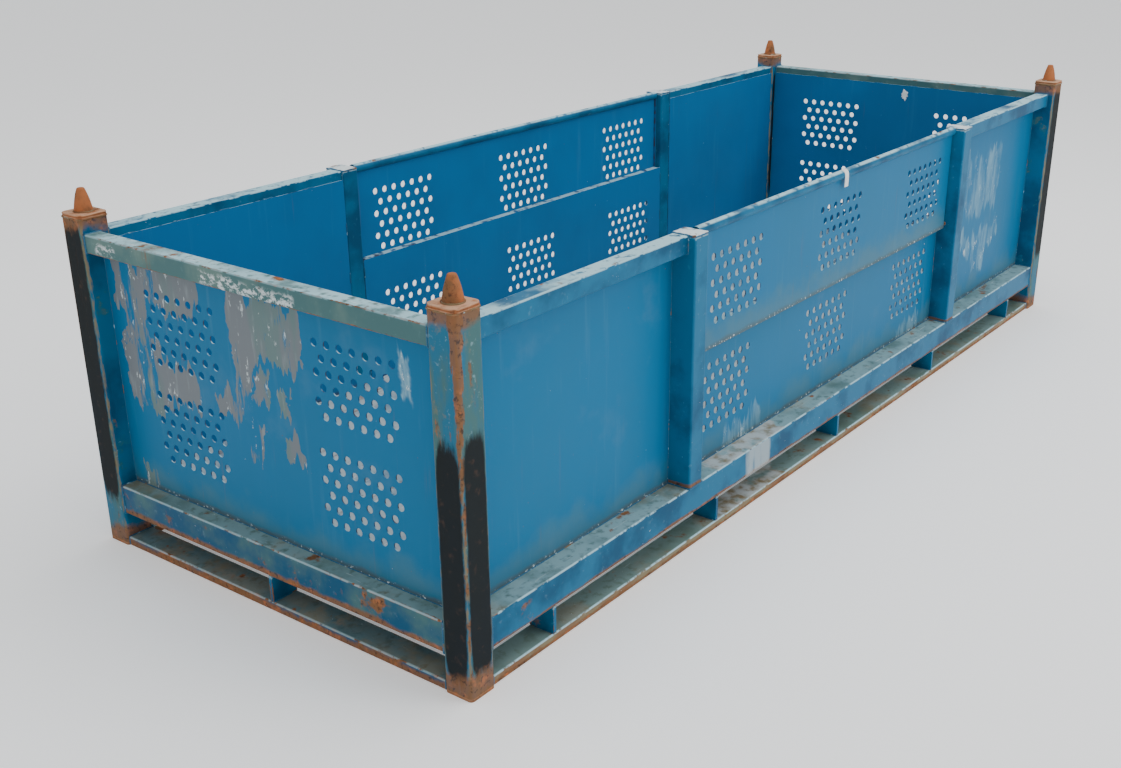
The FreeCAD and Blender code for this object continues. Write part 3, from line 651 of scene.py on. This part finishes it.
def plate(box, corner, profile, wobble, seed):
    """A rounded plate of rings of (inset, height), closed top and bottom, with an uneven rim."""
    low, high = box
    half_x, half_y = (high[0] - low[0]) / 2, (high[1] - low[1]) / 2
    middle = Vector((low[0] + half_x, low[1] + half_y, 0))
    outline = rounded_outline(low, high, corner)
    outline = walk(outline + outline[:1], 4 * MM)[:-1]
    most_swell = 0.4 * MM
    rim_width = 6 * MM
    points = []
    for inset, height in profile:
        fade = 1.0 if inset < rim_width else 0.3
        for place in outline:
            spoke = place - middle
            rough = noise.noise(Vector((place.x * 60, place.y * 60, seed + height * 200))) * wobble
            swell = 1 + fade * min(rough, most_swell) / half_x
            drawn = Vector((spoke.x * (1 - inset / half_x), spoke.y * (1 - inset / half_y), 0)) * swell
            points.append(middle + drawn + Vector((0, 0, height)))
    count = len(outline)
    faces = skin(len(profile), count)
    faces.append(tuple(range(count)))
    faces.append(tuple((len(profile) - 1) * count + number for number in range(count)))
    return points, faces


# ---- Operators ----

# Marks on single walls and rails: low and high along the piece, then bottom and top, in metres.
OVERPAINT = (
    (0.22, 0.54, 0.70, 0.80), (0.44, 0.52, 0.60, 0.74), (0.39, 0.53, 0.42, 0.58), (0.26, 0.38, 0.46, 0.55),
    (-0.12, 0.11, 0.65, 0.78), (0.06, 0.11, 0.53, 0.66), (0.07, 0.18, 0.48, 0.52), (0.0, 0.04, 0.55, 0.61),
    (-0.07, -0.04, 0.53, 0.58), (0.03, 0.07, 0.38, 0.48), (-0.10, -0.06, 0.40, 0.46),
    (0.48, 0.52, 0.19, 0.24),
)
SCRIBBLE = ((-0.468, -0.44, 0.66, 0.75),)
BAY_CLOUD = ((1.04, 1.35, 0.50, 0.70),)
BAY_CHIPS = ((1.04, 1.38, 0.36, 0.41), (1.17, 1.28, 0.28, 0.34), (1.70, 1.76, 0.48, 0.62))
LOW_SCUFF = ((0.54, 0.70, 0.18, 0.22), (-0.58, -0.40, 0.18, 0.23))
RAIL_SCRAPES = ((-0.17, 0.07, 0.815, 0.830), (0.02, 0.13, 0.824, 0.834), (0.46, 0.52, 0.827, 0.832))
RAIL_RUST = ((0.32, 0.335, 0.81, 0.86),)
RAIL_OVERPAINT = ((-0.56, -0.44, 0.09, 0.18),)
LEDGE_DUST = ((-0.72, -0.34, 0.0, 0.2),)


class CONTAINER_OT_paint_sheets(bpy.types.Operator):
    """Paint the wall sheets and the floor"""
    bl_idname = "container.paint_sheets"
    bl_label = "Paint Sheets"

    def execute(self, context):
        for number, (side, out_y) in enumerate(SIDES.items()):
            for kind in ("lower_side_panel", "gate_panel"):
                node = f"{kind}_{side}"
                coat = paint_sheet(f"{node}_paint", node, 1, out_y, number * 4 + len(kind))
                if kind == "lower_side_panel":
                    scuff(coat, LOW_SCUFF, 0, 0.3, 0.5)
                finish_node(node, coat.done())
            for end_number, end in enumerate(ENDS):
                node = f"bay_panel_{side}_{end}"
                coat = paint_sheet(f"{node}_paint", node, 1, out_y, number * 3 + end_number * 7 + 1)
                if (side, end) == ("front", "right"):
                    scuff(coat, BAY_CLOUD, 0, 0.36, 0.25)
                    scuff(coat, BAY_CHIPS, 0, 0.4, 0.8)
                finish_node(node, coat.done())
        for number, (end, out_x) in enumerate(ENDS.items()):
            node = f"end_panel_{end}"
            coat = paint_sheet(f"{node}_paint", node, 0, out_x, number * 5 + 2)
            if end == "left":
                brush_over(coat, OVERPAINT, 1, 0.92)
                scuff(coat, SCRIBBLE, 1, 0.8, 1.0)
            finish_node(node, coat.done())
        finish_node("floor_sheet", paint_floor())
        return {"FINISHED"}


# Each rail's pale upward face is partly scuffed paint and partly a painted highlight; it is strongest on the
# gate tubes and the side top rails.
RAIL_WEAR = {
    "side_top_rail": dict(top_rub_and_highlight=1.1, reach=0.006, rust=0.3, crest=0.9),
    "gate_top_tube": dict(top_rub_and_highlight=1.2, rust=0.0),
    "end_top_rail": dict(base="post", deep="ledge", top_rub_and_highlight=0.95, rust=0.75, blotch=0.16, crest=0.5),
    "side_bottom_rail": dict(top_rub_and_highlight=0.45, reach=0.010, blotch=0.06, ledge=0.8, crest=1.0, foot=0.009),
    "end_bottom_rail": dict(
        base="rail_deep", deep="post", top_rub_and_highlight=0.35, reach=0.016, rust=0.8, blotch=0.22, ledge=0.9, crest=0.7,
        foot=0.016),
    "floor_cross_members": dict(rust=0.6, blotch=0.12),
    "mid_post": dict(top_rub_and_highlight=0.5, reach=0.006, rust=0.45, foot=0.012),
    "side_runner": dict(
        base="grime", deep="rust", top_rub_and_highlight=0.2, reach=0.008, rust=0.6, blotch=0.3, ledge=0.95, crest=1.0,
        foot=0.012),
    "end_runner": dict(
        base="rail_deep", deep="rust", top_rub_and_highlight=0.15, reach=0.016, rust=0.8, blotch=0.5, ledge=0.6, crest=0.5,
        foot=0.018),
    "side_spacers": dict(top_rub_and_highlight=0.3, blotch=0.2),
    "end_spacer": dict(top_rub_and_highlight=0.3, blotch=0.3),
}


def mark_rail(node, coat):
    """Lay the scrapes, the rust run and the dusty patches of single rails."""
    tint = colours()
    if node == "end_top_rail_left":
        scrape = reach_of(coat, RAIL_SCRAPES, 1, 0.01, 0.02)
        torn = coat.grain(70, 6, 5, (1, 0.6, 1), rough=0.7).rise(0.48, 0.56)
        coat.lay(scrape * torn * 0.85, tint.bare, 0.45, -0.2)
        run = coat.grain(60, 5, 9, STROKES, rough=0.65).rise(0.4, 0.6)
        coat.lay(reach_of(coat, RAIL_RUST, 1, 0.03, 0.03) * run * 0.8, tint.rust, 0.8)
    if node == "side_bottom_rail_front":
        side_face = coat.facing_z.size().rise(0.5, 0.2)
        brushed = coat.grain(20, 5, 8, STROKES).rise(0.3, 0.5)
        coat.lay(reach_of(coat, RAIL_OVERPAINT, 0, 0.05, 0.03) * side_face * brushed * 0.7, tint.dust, 0.6)
    if node in ("side_bottom_rail_front", "side_runner_front"):
        up = coat.facing_z.rise(0.5, 0.9)
        sandy = coat.blend(coat.grain(30, 5, 4).rise(0.4, 0.7), tint.dust, tint.grime)
        drift = reach_of(coat, LEDGE_DUST, 0, 0.0, 0.2) * up
        coat.lay(drift * coat.grain(18, 6).rise(0.3, 0.5), sandy, 0.8)


class CONTAINER_OT_paint_rails(bpy.types.Operator):
    """Paint the rails, mid-posts, gate tubes, runners and spacers"""
    bl_idname = "container.paint_rails"
    bl_label = "Paint Rails"

    def execute(self, context):
        shift = 1.0
        for node in sorted(NODES):
            kind = next((word for word in RAIL_WEAR if node.startswith(word)), None)
            if kind is None or node.startswith("mid_post_cap"):
                continue
            coat = paint_bar(f"{node}_paint", node, shift, **RAIL_WEAR[kind])
            mark_rail(node, coat)
            finish_node(node, coat.done())
            shift += 1.7
        return {"FINISHED"}


class CONTAINER_OT_paint_posts(bpy.types.Operator):
    """Paint the corner posts and rust the cones, feet and pins"""
    bl_idname = "container.paint_posts"
    bl_label = "Paint Posts"

    def execute(self, context):
        smears = {
            ("front", "left"): [(1, -1, 0.14, 0.54), (0, -1, 0.12, 0.52)],
            ("back", "left"): [(0, -1, 0.22, 0.80)],
            ("front", "right"): [(1, -1, 0.30, 0.80)],
            ("back", "right"): [(1, -1, 0.40, 0.75)],
        }
        for number, corner in enumerate(CORNERS):
            place = "_".join(corner)
            shift = number * 3.3 + 1
            post = f"corner_post_{place}"
            out_x, out_y = ENDS[corner[1]], SIDES[corner[0]]
            finish_node(post, paint_post(f"{post}_paint", post, shift, out_x, out_y, smears[corner]))
            for kind, left, fresh in (("stacking_cone", 0.0, 0.8), ("foot_plate", 0.2, 0.2)):
                node = f"{kind}_{place}"
                finish_node(node, paint_rusty(f"{node}_rust", node, shift, left, 0.25, fresh))
        for side in SIDES:
            node = f"gate_hinge_pins_{side}"
            finish_node(node, paint_rusty(f"{node}_rust", node, 6.0, 0.0, 0.6))
        return {"FINISHED"}


# Rings of a cap in millimetres: the inset, whether it is measured from the bottom (0) or the top (1), and
# the height there.
POST_CAP_RINGS = (
    (2.0, 0, 0.0), (0.6, 0, 0.6), (0.2, 0, 3.2), (1.6, 0, 4.4), (1.8, 0, 5.0), (0.4, 0, 5.8),
    (0.2, 1, -2.0), (0.9, 1, -0.7), (2.4, 1, -0.1), (5, 1, 0.0), (12, 1, -0.2), (22, 1, 0.0),
)
MID_CAP_RINGS = (
    (0.8, 0, 0.0), (0.1, 0, 1.2), (0.2, 1, -1.2), (1.2, 1, -0.3), (3, 1, 0.0), (9, 1, -0.3), (18, 1, 0.0),
)
MID_CAP_CORNER = 6 * MM
MID_CAP_WOBBLE = 2.4 * MM


def make_cap(node, name, rings, corner, wobble, seed, material):
    """Make a worn cap in place of a plain one."""
    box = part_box(node)
    profile = [(inset * MM, box[level][2] + height * MM) for inset, level, height in rings]
    piece = new_piece(name, plate(box, corner, profile, wobble, seed), material, "frame", "cap_steel")
    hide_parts(node)


class CONTAINER_OT_make_caps(bpy.types.Operator):
    """Make the post caps and mid-post caps, with uneven rims"""
    bl_idname = "container.make_caps"
    bl_label = "Make Caps"

    def execute(self, context):
        own = sizes()
        for number, corner in enumerate(CORNERS):
            place = "_".join(corner)
            node = f"post_cap_{place}"
            steel = paint_rusty(f"{node}_rust", node, number * 2.1, 0.1, 0.5, fresh=0.5, pale=0.85)
            make_cap(node, f"worn_cap_{place}", POST_CAP_RINGS, own.cap_corner, own.cap_wobble, number, steel)
            node = f"mid_post_cap_{place}"
            steel = paint_mid_cap(f"{node}_paint", node, number * 1.9 + 1)
            name = f"worn_mid_cap_{place}"
            make_cap(node, name, MID_CAP_RINGS, MID_CAP_CORNER, MID_CAP_WOBBLE, number + 9, steel)
        return {"FINISHED"}


def paint_mid_cap(name, node, shift):
    """A mid-post cap worn to pale metal, with rust round its rim."""
    tint = colours()
    coat = Coat(name, tint.rail, 0.5)
    up = coat.facing_z.rise(0.4, 0.8)
    coat.lay(up * coat.grain(26, 5, shift).rise(0.3, 0.5), tint.bare, 0.5)
    coat.lay(coat.grain(40, 5, shift + 2).rise(0.58, 0.68), rust_colour(coat, shift), 0.8, -0.2)
    rust_edges(coat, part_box(node), 0.006, shift, 0.6)
    coat.relief = coat.grain(150, 4, shift) * 0.5 + coat.relief
    return coat.done()


class CONTAINER_OT_make_welds(bpy.types.Operator):
    """Make the weld beads of the frame and the gates"""
    bl_idname = "container.make_welds"
    bl_label = "Make Welds"

    def execute(self, context):
        own = sizes()
        painted = paint_weld("weld_bead", 0.85)
        rusty = paint_weld("rusty_weld_bead", 0.15)
        runs = (
            ("cap_welds", cap_beads(own.bead), rusty, "post_paint"),
            ("rail_end_welds", rail_beads(own.bead), painted, "rail_paint"),
            ("sheet_seam_welds", seam_beads(own.seam), painted, "sheet_paint"),
            ("sheet_stitch_welds", stitch_beads(own.seam), painted, "sheet_paint"),
            ("spacer_welds", spacer_beads(own.seam), painted, "runner_paint"),
        )
        for name, beads, material, slot_name in runs:
            new_piece(name, joined(beads), material, "frame", slot_name)
        for side, out_y in SIDES.items():
            beads = gate_beads(side, out_y, own.seam)
            new_piece(f"gate_welds_{side}", joined(beads), painted, f"{side}_gate", "rail_paint")
        return {"FINISHED"}


POST_CORNER = 10 * MM
INSET = 1 * MM
SHEET_LAP = 3 * MM
UNDER_RAIL = 22 * MM
SPACERS, SPACER_THICK = 5, 10 * MM
SPACER_BEAD = 60 * MM
GATE_BEAD_DROP = 0.6 * MM


def cap_beads(radius):
    """Round the foot of each cone, and round each post under its cap."""
    for number, (side, end) in enumerate(CORNERS):
        place = f"{side}_{end}"
        low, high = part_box(f"stacking_cone_{place}")
        middle = (Vector(low) + Vector(high)) / 2
        middle.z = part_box(f"post_cap_{place}")[1][2]
        yield bead(ring(middle, (high[0] - low[0]) / 2), radius, True, number)
        low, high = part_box(f"corner_post_{place}")
        outline = rounded_outline(low, high, POST_CORNER)
        corners = [Vector((point.x, point.y, high[2] - INSET)) for point in outline + outline[:1]]
        yield bead(corners, radius * 0.7, True, number + 5)


def section_loop(low, high, axis, place):
    """The rectangle round a bar's section, at one place along its axis."""
    others = [other for other in range(3) if other != axis]
    loop = []
    for first, second in ((0, 0), (1, 0), (1, 1), (0, 1), (0, 0)):
        point = Vector((0, 0, 0))
        point[axis] = place
        point[others[0]] = (low, high)[first][others[0]]
        point[others[1]] = (low, high)[second][others[1]]
        loop.append(point)
    return loop


def rail_beads(radius):
    """Round both ends of each rail and runner, and round the foot of each mid-post."""
    beads = []
    for node in sorted(NODES):
        low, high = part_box(node)
        if node.startswith(("side_top_rail", "side_bottom_rail", "side_runner")):
            axis = 0
        elif node.startswith(("end_top_rail", "end_bottom_rail", "end_runner")):
            axis = 1
        elif node.startswith("mid_post_") and "cap" not in node:
            beads.append(bead(section_loop(low, high, 2, low[2] + INSET), radius * 0.8, True, len(beads)))
            continue
        else:
            continue
        size = radius * (0.6 if "runner" in node else 0.9)
        for place in (low[axis] + INSET, high[axis] - INSET):
            lowest = Vector(low)
            if "runner" in node:
                lowest.z += size * 1.6
            beads.append(bead(section_loop(lowest, high, axis, place), size, True, len(beads)))
    return beads


def sheet_lines(node, axis, outward):
    """A wall sheet's span along its wall, its outer and inner faces, and its bottom and top."""
    low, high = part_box(node)
    outer, inner = outer_face(node, 1 - axis, outward), outer_face(node, 1 - axis, -outward)
    return low[axis], high[axis], outer, inner, low[2], high[2]


def wall_point(axis, along, across, height):
    return Vector((along, across, height)) if axis == 0 else Vector((across, along, height))


def wall_sheets():
    """Each fixed wall sheet as (node, axis along its wall, outward sign)."""
    for side, out_y in SIDES.items():
        for end in ENDS:
            yield f"bay_panel_{side}_{end}", 0, out_y
        yield f"lower_side_panel_{side}", 0, out_y
    for end, out_x in ENDS.items():
        yield f"end_panel_{end}", 1, out_x


def seam_beads(radius):
    """Along the foot of each sheet outside, and up both its ends."""
    for number, (node, axis, outward) in enumerate(wall_sheets()):
        start, end, outer, inner, bottom, top = sheet_lines(node, axis, outward)
        if node.startswith("lower_side_panel"):
            outer = inner + outward * SHEET_LAP
        else:
            top -= UNDER_RAIL
        feet = [wall_point(axis, along, outer, bottom) for along in (start, end)]
        yield bead(feet, radius, False, number)
        for foot, along in zip(feet, (start, end)):
            yield bead([foot, wall_point(axis, along, outer, top)], radius * 0.8, False, number + 20)


def stitches(start, end, pitch):
    """The start and end of each stitch of a row."""
    stitch = sizes().stitch
    start += stitch
    while start + stitch < end:
        yield start, start + stitch
        start += pitch


def stitch_beads(radius):
    """Short beads inside: along the top of the lapped sheets and up the sheet ends."""
    pitch = sizes().stitch_pitch
    for number, (node, axis, outward) in enumerate(wall_sheets()):
        start, end, outer, inner, bottom, top = sheet_lines(node, axis, outward)
        if not node.startswith("lower_side_panel"):
            edge = inner + outward * SHEET_LAP
            for ends in stitches(start, end, pitch):
                run = [wall_point(axis, along, edge, top) for along in ends]
                yield bead(run, radius * 1.2, False, number + ends[0])
        for heights in stitches(bottom, top, pitch):
            for side in (start, end):
                run = [wall_point(axis, side, inner, height) for height in heights]
                yield bead(run, radius, False, number + heights[0])


def spacer_beads(radius):
    """Across the head and foot of each spacer plate, on both its faces."""
    sunk = INSET / 2
    for side, out_y in SIDES.items():
        low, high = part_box(f"side_spacers_{side}")
        outer = outer_face(f"side_spacers_{side}", 1, out_y)
        reach = (outer, outer - out_y * SPACER_BEAD)
        pitch = (high[0] - low[0] - SPACER_THICK) / (SPACERS - 1)
        for number in range(SPACERS):
            start = low[0] + number * pitch
            for height in (low[2] + sunk, high[2] - sunk):
                for along in (start, start + SPACER_THICK):
                    yield bead([Vector((along, y, height)) for y in reach], radius, False, number + height)
    for end, out_x in ENDS.items():
        low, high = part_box(f"end_spacer_{end}")
        outer = outer_face(f"end_spacer_{end}", 0, out_x)
        reach = (outer, outer - out_x * SPACER_BEAD)
        for height in (low[2] + sunk, high[2] - sunk):
            for across in (low[1], high[1]):
                yield bead([Vector((x, across, height)) for x in reach], radius, False, across + height)


def gate_beads(side, out_y, radius):
    """Stitches between the gate's sheet and its tube, inside and outside."""
    low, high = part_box(f"gate_panel_{side}")
    outer = outer_face(f"gate_panel_{side}", 1, out_y)
    height = high[2] - GATE_BEAD_DROP
    for face in (outer, outer - out_y * SHEET_LAP):
        for ends in stitches(low[0], high[0], sizes().stitch_pitch * 0.8):
            yield bead([Vector((along, face, height)) for along in ends], radius, False, ends[0])


class CONTAINER_OT_make_labels(bpy.types.Operator):
    """Make the plain paper tag on a gate and the torn label inside the far end"""
    bl_idname = "container.make_labels"
    bl_label = "Make Labels"

    def execute(self, context):
        low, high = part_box("gate_top_tube_front")
        radius = (high[2] - low[2]) / 2 + 0.5 * MM
        strip = tag_strip((low[1] + high[1]) / 2, (low[2] + high[2]) / 2, radius)
        thicken(new_piece("paper_tag", strip, paint_paper("tag_paper"), "front_gate", "rail_paint"))
        scrap = torn_label(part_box("end_panel_right")[0][0] - 0.4 * MM)
        thicken(new_piece("torn_label", scrap, paint_paper("label_paper"), "frame", "sheet_paint"))
        return {"FINISHED"}


def thicken(piece):
    """Give a paper piece its thickness."""
    solid = piece.modifiers.new("Thickness", "SOLIDIFY")
    solid.thickness = 0.3 * MM
    solid.offset = 0


def tag_strip(middle_y, middle_z, radius):
    """A strip stuck over the top of the gate's tube that hangs flat down its outer side."""
    middle_x, width = -4 * MM, 24 * MM
    start, turn_step, turn_steps = 75, 15, 8
    hang_step, hang_steps = 4.4, 8
    line = []
    for step in range(turn_steps):
        turn = math.radians(start + step * turn_step)
        line.append((middle_y + radius * math.cos(turn), middle_z + radius * math.sin(turn)))
    outer, hang_from = line[-1]
    for step in range(1, hang_steps + 1):
        line.append((outer - 0.5 * MM * math.sin(step * 0.7), hang_from - step * hang_step * MM))
    points = []
    for number, (y, z) in enumerate(line):
        skew = 0.6 * MM * math.sin(number * 0.6)
        points.append((middle_x - width / 2 + skew, y, z))
        points.append((middle_x, y - 0.3 * MM, z))
        points.append((middle_x + width / 2 + skew, y, z))
    faces = []
    for first in range(0, len(points) - 3, 3):
        faces += [(first, first + 1, first + 4, first + 3), (first + 1, first + 2, first + 5, first + 4)]
    return points, faces


def torn_label(face_x):
    """A ragged scrap of paper, curling slightly off the sheet."""
    middle_y, middle_z = -34 * MM, 794 * MM
    half_width, half_height, most_curl = 17 * MM, 25 * MM, 1.6 * MM
    spokes, rings = 30, 4
    points = [(face_x, middle_y, middle_z)]
    for level in range(1, rings + 1):
        for number in range(spokes):
            turn = math.tau * number / spokes
            ragged = 1 / (abs(math.cos(turn + 0.4)) + abs(math.sin(turn + 0.4)))
            ragged += 0.45 * noise.noise(Vector((math.cos(turn) * 3, math.sin(turn) * 3, 4.0)))
            reach = level / rings * ragged
            curl = most_curl * (level / rings) ** 3 * (0.5 + 0.5 * math.sin(3 * turn))
            across = middle_y + half_width * reach * math.cos(turn)
            points.append((face_x - curl, across, middle_z + half_height * reach * math.sin(turn)))
    faces = [(0, 1 + number, 1 + (number + 1) % spokes) for number in range(spokes)]
    for level in range(rings - 1):
        base = 1 + level * spokes
        for number in range(spokes):
            inner, following = base + number, base + (number + 1) % spokes
            faces.append((inner, inner + spokes, following + spokes, following))
    return points, faces


# Each lamp's name, its place from the container's middle, its size and its power.
LAMPS = (
    ("overhead", (0.5, -1.0, 5.5), 6.0, 200),
    ("key", (1.5, -6.0, 3.6), 4.0, 122),
    ("fill", (-7.0, -1.0, 2.6), 4.0, 15),
)
SKY = (0.95, 0.98, 1.0, 1)
SKY_STRENGTH = 0.8
GROUND_REACH = 150
GROUND_GLOW = 0.3
CAMERA_PLACE = (-3.5553, -2.3466, 1.7260)
CAMERA_YAW, CAMERA_PITCH, CAMERA_ROLL = math.radians(36.533), math.radians(22.430), math.radians(0.117)
CAMERA_LENS = 43.27
CAMERA_SHIFT = (-0.0336, 0.0191)


class CONTAINER_OT_set_stage(bpy.types.Operator):
    """Set the studio floor, the lights and the camera"""
    bl_idname = "container.set_stage"
    bl_label = "Set Stage"

    def execute(self, context):
        tint = colours()
        coat = Coat("ground", tint.ground, 0.9)
        coat.relief = coat.grain(3, 2) * 0.5
        coat.shader.inputs["Emission Color"].default_value = tint.ground
        coat.shader.inputs["Emission Strength"].default_value = GROUND_GLOW
        size = GROUND_REACH
        points = [(-size, -size, 0), (size, -size, 0), (size, size, 0), (-size, size, 0)]
        mesh = bpy.data.meshes.new("ground")
        mesh.from_pydata(points, [], [(0, 1, 2, 3)])
        mesh.materials.append(coat.done())
        ground = bpy.data.objects.new("ground", mesh)
        show(ground)
        set_sky(context.scene)
        low, high = CAD_BOX
        middle = Vector(((low[0] + high[0]) / 2, (low[1] + high[1]) / 2, 0.5))
        for name, offset, size, power in LAMPS:
            add_lamp(name, middle + Vector(offset), middle, size, power)
        add_camera(context.scene)
        return {"FINISHED"}


def set_sky(scene):
    """An even, bright, slightly cool sky."""
    world = bpy.data.worlds.new("studio")
    world.use_nodes = True
    background = world.node_tree.nodes["Background"]
    background.inputs["Color"].default_value = SKY
    background.inputs["Strength"].default_value = SKY_STRENGTH
    scene.world = world


def add_lamp(name, place, target, size, power):
    """A round soft lamp that points at a place."""
    lamp = bpy.data.lights.new(name, "AREA")
    lamp.shape = "DISK"
    lamp.size = size
    lamp.energy = power
    item = bpy.data.objects.new(name, lamp)
    item.location = place
    item.rotation_euler = (target - place).to_track_quat("-Z", "Y").to_euler()
    show(item)


def add_camera(scene):
    """A camera above the near left corner, looking along the container."""
    camera = bpy.data.cameras.new("camera")
    camera.sensor_width = 36
    camera.lens = CAMERA_LENS
    camera.shift_x, camera.shift_y = CAMERA_SHIFT
    camera.clip_end = 200
    item = bpy.data.objects.new("camera", camera)
    yaw = Matrix.Rotation(CAMERA_YAW - math.pi / 2, 4, "Z")
    pitch = Matrix.Rotation(math.pi / 2 - CAMERA_PITCH, 4, "X")
    roll = Matrix.Rotation(-CAMERA_ROLL, 4, "Z")
    item.matrix_world = Matrix.Translation(CAMERA_PLACE) @ (yaw @ pitch) @ roll
    show(item)
    scene.camera = item


class CONTAINER_PT_finishes(bpy.types.Panel):
    """List the operators and settings of the container's finishes"""
    bl_label = "Container Finishes"
    bl_idname = "CONTAINER_PT_finishes"
    bl_space_type = "VIEW_3D"
    bl_region_type = "UI"
    bl_category = "Container"

    def draw(self, context):
        for operator in OPERATORS:
            self.layout.operator(operator.bl_idname)
        for group in (colours(), sizes()):
            for name in group.__annotations__:
                self.layout.prop(group, name)


OPERATORS = (
    CONTAINER_OT_paint_sheets,
    CONTAINER_OT_paint_rails,
    CONTAINER_OT_paint_posts,
    CONTAINER_OT_make_caps,
    CONTAINER_OT_make_welds,
    CONTAINER_OT_make_labels,
    CONTAINER_OT_set_stage,
)
CLASSES = (ContainerColours, ContainerSizes, *OPERATORS, CONTAINER_PT_finishes)


def register():
    for item in CLASSES:
        bpy.utils.register_class(item)
    bpy.types.Scene.container_colours = PointerProperty(type=ContainerColours)
    bpy.types.Scene.container_sizes = PointerProperty(type=ContainerSizes)


def unregister():
    del bpy.types.Scene.container_sizes
    del bpy.types.Scene.container_colours
    for item in reversed(CLASSES):
        bpy.utils.unregister_class(item)


def main():
    register()
    for operator in OPERATORS:
        group, name = operator.bl_idname.split(".")
        getattr(getattr(bpy.ops, group), name)()


if __name__ == "__main__":
    main()
